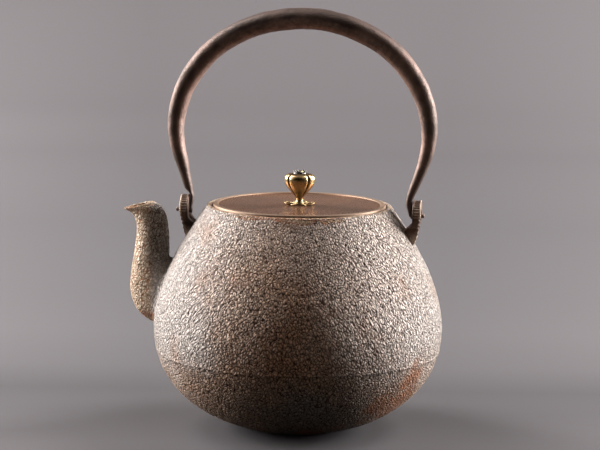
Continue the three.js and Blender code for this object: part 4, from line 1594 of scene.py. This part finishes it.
@dataclass
class Knob:
    """The bud-shaped knob, its openwork seat and the small calyx on top."""

    plate_top: float = 124.7
    seat_thickness: float = 1.1
    seat_radius: float = 8.7
    petal_radius: float = 3.3
    petal_wire: float = 0.48
    petal_lift: float = 0.8
    hub_half_height: float = 0.55
    bud_profile: tuple = (
        (2.9, 0.0), (2.5, 0.5), (1.9, 1.3), (1.8, 2.2), (2.05, 3.0), (2.9, 4.0), (3.9, 5.2),
        (5.5, 7.0), (7.05, 8.9), (8.1, 11.0), (8.5, 12.8), (8.45, 14.0), (8.0, 15.1), (7.1, 15.9),
        (5.7, 16.3), (4.4, 16.4),
    )
    lobes: int = 4
    groove_width: float = 0.085  # radians
    groove_depth: float = 0.085  # share of the radius
    lobe_depth: float = 0.055  # share of the radius
    calyx_radius: float = 3.7
    stamens: int = 9

    def _seat(self) -> Skin:
        """The seat: petal loops of round wire about a small hub.

        A petal is a drop-shaped loop: a circle whose side towards the hub is pinched
        smoothly, and whose far side is lifted.

        Returns:
            The skin, not yet finished.
        """
        skin = Skin("knob_seat_skin")
        level = self.plate_top + self.seat_thickness / 2
        path, section = full_turn(48), full_turn(14)
        centre = self.seat_radius - self.petal_radius
        reach = centre + (self.petal_radius - self.petal_wire) * np.cos(path)
        pinch = 0.55 + 0.45 * ease(reach, centre - self.petal_radius, centre + 1.0)
        side = (self.petal_radius - self.petal_wire) * np.sin(path) * pinch * 1.4
        lift = self.petal_lift * ease(reach, centre, self.seat_radius) + 0.12 * np.sin(path * 2)
        loop = placed(reach, side, level + lift)
        ahead = unit(np.roll(loop, -1, 0) - np.roll(loop, 1, 0))
        flat = placed(ahead[:, 1], -ahead[:, 0], 0.0)
        up = np.array([0.0, 0.0, 0.75 * (self.seat_thickness / 2)])
        wire = (loop[:, None] + self.petal_wire * np.cos(section)[:, None] * flat[:, None]
                + np.sin(section)[:, None] * up)
        x, y, z = np.moveaxis(wire, -1, 0)
        tarnished = 0.6 + 0.4 * fall(z - level, -0.25, 0.35)
        for turn in full_turn(self.lobes):
            c, s = math.cos(turn), math.sin(turn)
            skin.add_ring(placed(x * c - y * s, x * s + y * c, z), tarnished)
        low, high = level - self.hub_half_height, level + self.hub_half_height
        hub = rounded([(1.5, low, 0.2), (3.2, low, 0.4), (3.1, high, 0.4), (1.5, high, 0.2)], 4)
        skin.add_ring(turned(hub, full_turn(48)), 0.5)
        return skin

    def _bud(self) -> Skin:
        """The bud: a turned form drawn in between its lobes.

        Its radius is lessened near each groove by a narrow bell curve of the angle from
        the groove, and more widely by a cosine of it.

        Returns:
            The skin, not yet finished.
        """
        skin = Skin("knob_bud_skin")
        last = len(self.bud_profile) - 1
        line = smoothed_spline(np.array(self.bud_profile), np.linspace(0, last, 120))
        angles = full_turn(192)
        points = turned(line, angles)
        off = np.abs((angles * self.lobes / (2 * math.pi)) % 1.0 - 0.5) / self.lobes * 2 * math.pi
        radius, height = line[:, 0, None], line[:, 1, None]
        tall = ease(height, 2.2, 6.0)
        groove = bell(off, 0.0, self.groove_width) * tall
        wide = self.lobe_depth * (0.5 + 0.5 * np.cos(off * self.lobes)) * tall
        points[..., :2] *= (1.0 - self.groove_depth * groove - wide)[..., None]
        points[..., 2] += self.plate_top + self.seat_thickness
        # Painted shade: the top of the crown is darkened.
        crown = 0.8 * ease(height, 15.2, 16.3) * (radius < 7.5)
        foot = 0.5 * (height < 2.0) + 0.6 * fall(height, 5.0, 11.0) * (height >= 3.0)
        skin.add_solid(points, np.clip(groove * 0.95 + crown + foot, 0.0, 1.0))
        return skin

    def _calyx(self) -> Skin:
        """The calyx: a low cushion with a ring of small knobs on short stalks.

        Returns:
            The skin, not yet finished.
        """
        skin = Skin("knob_calyx_skin")
        top = self.plate_top + self.seat_thickness + self.bud_profile[-1][1]
        ring = rounded([(1.5, top, 0.1), (self.calyx_radius, top, 0.3),
                        (self.calyx_radius - 0.4, top + 0.8, 0.4), (1.5, top + 0.9, 0.1)], 5)
        skin.add_ring(turned(ring, full_turn(60)), 0.55)
        profile = np.array([
            (0.35, 0.2), (0.4, 0.7), (0.55, 1.0), (0.72, 1.3), (0.72, 1.6), (0.5, 1.85),
            (0.2, 1.95),
        ])
        bright = (1.0 - 0.5 * ease(profile[:, 1], 0.9, 1.6))[:, None]
        reach = self.calyx_radius - 0.75
        for i, angle in enumerate(full_turn(self.stamens) + 0.2):
            tall = 0.85 + 0.15 * math.sin(i * 2.4)
            stamen = turned(profile * np.array([1.0, tall]), full_turn(14))
            stamen += np.array([reach * math.cos(angle), reach * math.sin(angle), top])
            skin.add_solid(stamen, bright)
        return skin

    def build(self, brass: bpy.types.Material, silver: bpy.types.Material) -> None:
        """Makes the knob's pieces.

        Args:
            brass: For the bud and its seat.
            silver: For the calyx.
        """
        dress(self._seat(), brass, "knob_seat", "lid")
        dress(self._bud(), brass, "knob_bud", "lid")
        dress(self._calyx(), silver, "knob_calyx", "lid")


# Studio


def direction(azimuth: float, elevation: float) -> Vector:
    """A unit vector by its angles in degrees. Azimuth 0 is -Y, where the camera is.

    Args:
        azimuth: The turn about the Z axis.
        elevation: The angle over the floor.

    Returns:
        The vector.
    """
    turn, rise = math.radians(azimuth), math.radians(elevation)
    return Vector((math.sin(turn) * math.cos(rise), -math.cos(turn) * math.cos(rise),
                   math.sin(rise)))


@dataclass
class SoftBox:
    """One large soft lamp, placed by its direction from the kettle."""

    name: str
    azimuth: float
    elevation: float
    distance: float
    width: float
    height: float
    power: float

    def build(self, aim: Vector) -> None:
        """Hangs the lamp so that it faces the aim.

        Args:
            aim: The place that it faces.
        """
        way = direction(self.azimuth, self.elevation)
        data = bpy.data.lights.new(self.name, "AREA")
        data.shape = "RECTANGLE"
        data.size, data.size_y = self.width, self.height
        data.energy = self.power
        lamp = bpy.data.objects.new(self.name, data)
        bpy.context.scene.collection.objects.link(lamp)
        lamp.location = aim + way * self.distance
        lamp.rotation_euler = (-way).to_track_quat("-Z", "Y").to_euler()
        lamp.visible_camera = False


@dataclass
class Studio:
    """Backdrop, lamps, world and camera, in metres and degrees."""

    azimuth: float = 6.5
    elevation: float = 8.6
    roll: float = 0.75
    distance: float = 1.413
    aim_height: float = 0.1133
    aim_right: float = 0.00045
    lens: float = 152.59
    lamp_aim: float = 0.1
    wall_start: float = 1.6
    wall_bend: float = 1.2
    unlit: Colour = (0.02, 0.018, 0.018)
    tint: Colour = (1.047, 0.961, 0.992)
    # The greys from 0.03 to 0.16 m behind the kettle dip low: a painted shadow of the kettle on the
    # floor.
    away_greys: tuple = (  # metres behind the kettle, and the grey there
        (-0.05, 0.142), (0.03, 0.099), (0.09, 0.083), (0.16, 0.110), (0.27, 0.120),
        (0.42, 0.113), (0.75, 0.109), (1.25, 0.133), (1.6, 0.183), (2.1, 0.231),
    )
    side_shares: tuple = (  # slope to the side as the camera sees it, and the grey's share
        (-0.12, 1.0), (-0.06, 0.839), (0.06, 0.842), (0.12, 0.983),
    )
    world_colour: Colour = (1.0, 0.84, 0.73)
    world_strength: float = 0.158
    room_above: float = 0.36
    room_seen: float = 0.25
    boxes: tuple = (
        SoftBox("left_back_box", -117.0, 17.0, 2.0, 0.8, 1.0, 53.0),
        SoftBox("left_side_box", -96.0, 18.0, 2.0, 0.7, 1.2, 47.0),
        SoftBox("left_high_box", -116.0, 50.0, 2.0, 0.8, 0.8, 25.0),
        SoftBox("right_back_box", 121.0, 13.0, 2.0, 1.1, 1.0, 97.0),
        SoftBox("right_high_box", 116.0, 50.0, 2.0, 0.8, 0.8, 26.0),
    )

    def _camera(self) -> None:
        """Places the camera from its azimuth, elevation and roll about the aim."""
        back = direction(self.azimuth, self.elevation)
        right = direction(self.azimuth + 90.0, 0.0)
        up = back.cross(right)
        tilt = math.radians(self.roll)
        side = right * math.cos(tilt) + up * math.sin(tilt)
        top = -right * math.sin(tilt) + up * math.cos(tilt)
        place = Vector((0.0, 0.0, self.aim_height)) + side * self.aim_right
        place = place + back * self.distance
        data = bpy.data.cameras.new("photo_camera")
        data.sensor_width = 36.0
        data.lens = self.lens
        data.clip_end = 50.0
        camera = bpy.data.objects.new("photo_camera", data)
        bpy.context.scene.collection.objects.link(camera)
        basis = Matrix((side, top, back)).transposed().to_4x4()
        camera.matrix_world = Matrix.Translation(place) @ basis
        bpy.context.scene.camera = camera

    def _paper(self) -> bpy.types.Material:
        """The backdrop's grey.

        It follows two smooth ramps, one over the distance behind the kettle and one over
        the slope to the side, and goes dark far out to both sides, under the lamps. The
        ramp behind dips low just behind the kettle, a painted shadow of the kettle. The
        camera sees this grey, and metal mirrors it behind the kettle. All other light
        meets a nearly black paper, which lights nothing.

        Returns:
            The material.
        """
        away_scale, away_start = 0.4, 0.05
        side_scale, side_start = 4.0, 0.5
        camera_away = 1.4
        material = bpy.data.materials.new("backdrop_paper")
        material.use_nodes = True
        graph = Graph(material.node_tree)
        place = graph.add("TexCoord").outputs["Object"]
        axes = graph.axes(place)
        across, away = (
            graph.vector("DOT_PRODUCT", place, tuple(way)).outputs["Value"]
            for way in (direction(self.azimuth + 90.0, 0.0), -direction(self.azimuth, 0.0))
        )
        far = graph.math("MAXIMUM", graph.math("ADD", away, camera_away), 1.0)
        aside = graph.times_plus(graph.math("DIVIDE", across, far), side_scale, side_start, True)
        away = graph.times_plus(away, away_scale, away_start, clamp=True)
        greys = graph.ramp(away, [
            (y * away_scale + away_start, tuple(grey * part for part in self.tint))
            for y, grey in self.away_greys
        ])
        shares = graph.ramp(aside, [
            (x * side_scale + side_start, (share,) * 3) for x, share in self.side_shares
        ])
        shown = graph.blend(1.0, greys, shares, "MULTIPLY")
        near = graph.between(graph.math("ABSOLUTE", axes["X"]), 1.7, 0.7)
        shown = graph.blend(near, self.unlit, shown)
        camera, mirrored = graph.rays()
        mirrored = graph.times(mirrored, graph.between(axes["Y"], -0.1, 0.3))
        colour = graph.blend(graph.math("MAXIMUM", camera, mirrored), self.unlit, shown)
        graph.feed(material.node_tree.nodes["Principled BSDF"], Base_Color=colour, Roughness=0.85,
                   Specular_IOR_Level=0.1)
        return material

    def _backdrop(self) -> None:
        """A floor that sweeps up into a wall well behind the kettle.

        Its line across is flat, then a quarter circle, then upright.
        """
        start, bend = self.wall_start / MM, self.wall_bend / MM
        floor_front, wall_top, half_length = -2600.0, 4200.0, 3600.0
        turn = np.linspace(0.0, math.pi / 2, 24)[:, None]
        arc = np.hstack([start + bend * np.sin(turn), bend * (1 - np.cos(turn))])
        line = np.vstack([[floor_front, 0.0], [0.0, 0.0], arc, [start + bend, wall_top]])
        spread = np.linspace(-half_length, half_length, 9)
        points = placed(spread, line[:, 0, None], line[:, 1, None])
        skin = Skin("backdrop")
        skin.add_quads(quads_of(skin.add_points(points)))
        skin.finish(self._paper())

    def _world(self) -> bpy.types.World:
        """Dim warm light from all round. Metal mirrors it as a paler room above and behind.

        Returns:
            The world.
        """
        world = bpy.data.worlds.new("studio_world")
        world.use_nodes = True
        graph = Graph(world.node_tree)
        axes = graph.axes(graph.add("TexCoord").outputs["Generated"])
        camera, mirrored = graph.rays()
        behind = graph.between(axes["Y"], -0.7, 0.2)
        up = graph.times(graph.between(axes["Z"], 0.1, 0.85), behind)
        room = graph.times(mirrored, graph.times(up, self.room_above))
        seen = graph.times_plus(camera, self.room_seen, room)
        dark = graph.times(mirrored, graph.math("SUBTRACT", 1.0, behind))
        left = graph.times_plus(dark, -self.world_strength, self.world_strength)
        graph.feed(world.node_tree.nodes["Background"], Color=self.world_colour,
                   Strength=graph.math("ADD", seen, left))
        return world

    def build(self) -> None:
        """Sets up everything that isn't the kettle."""
        scene = bpy.context.scene
        scene.view_settings.view_transform = "Standard"
        scene.world = self._world()
        self._backdrop()
        for box in self.boxes:
            box.build(Vector((0.0, 0.0, self.lamp_aim)))
        self._camera()


def main() -> None:
    """Builds the kettle piece by piece, then the studio."""
    logging.basicConfig(level=logging.INFO, format="%(name)s: %(message)s")
    effects = SharedEffects()
    cast = CastSkin("cast_skin").material(effects)
    ear_iron = DarkIron(
        "ear_iron", dark=(0.04, 0.024, 0.018), brown=(0.17, 0.088, 0.06), pale=(0.80, 0.62, 0.48),
    ).material(effects)
    forged = DarkIron(
        "forged_iron", dark=(0.07, 0.047, 0.04), brown=(0.23, 0.145, 0.117), pale=(0.50, 0.32, 0.26),
        rough_high=0.66, relief=0.0004,
    ).material(effects)
    bronze = BrownBronze("brown_bronze").material(effects)
    brass = BrightMetal("polished_brass").material(effects)
    silver = BrightMetal(
        "silvered_brass", bright=(0.33, 0.31, 0.29), groove=(0.03, 0.025, 0.02), roughness=0.16
    ).material(effects)
    shell = Shell()
    shell.build(cast)
    Spout(shell).build(cast)
    for side in Side:
        Ear(side).build(ear_iron)
    Bail().build(forged)
    Lid().build(bronze, brass)
    Knob().build(brass, silver)
    Studio().build()


if __name__ == "__main__":
    main()
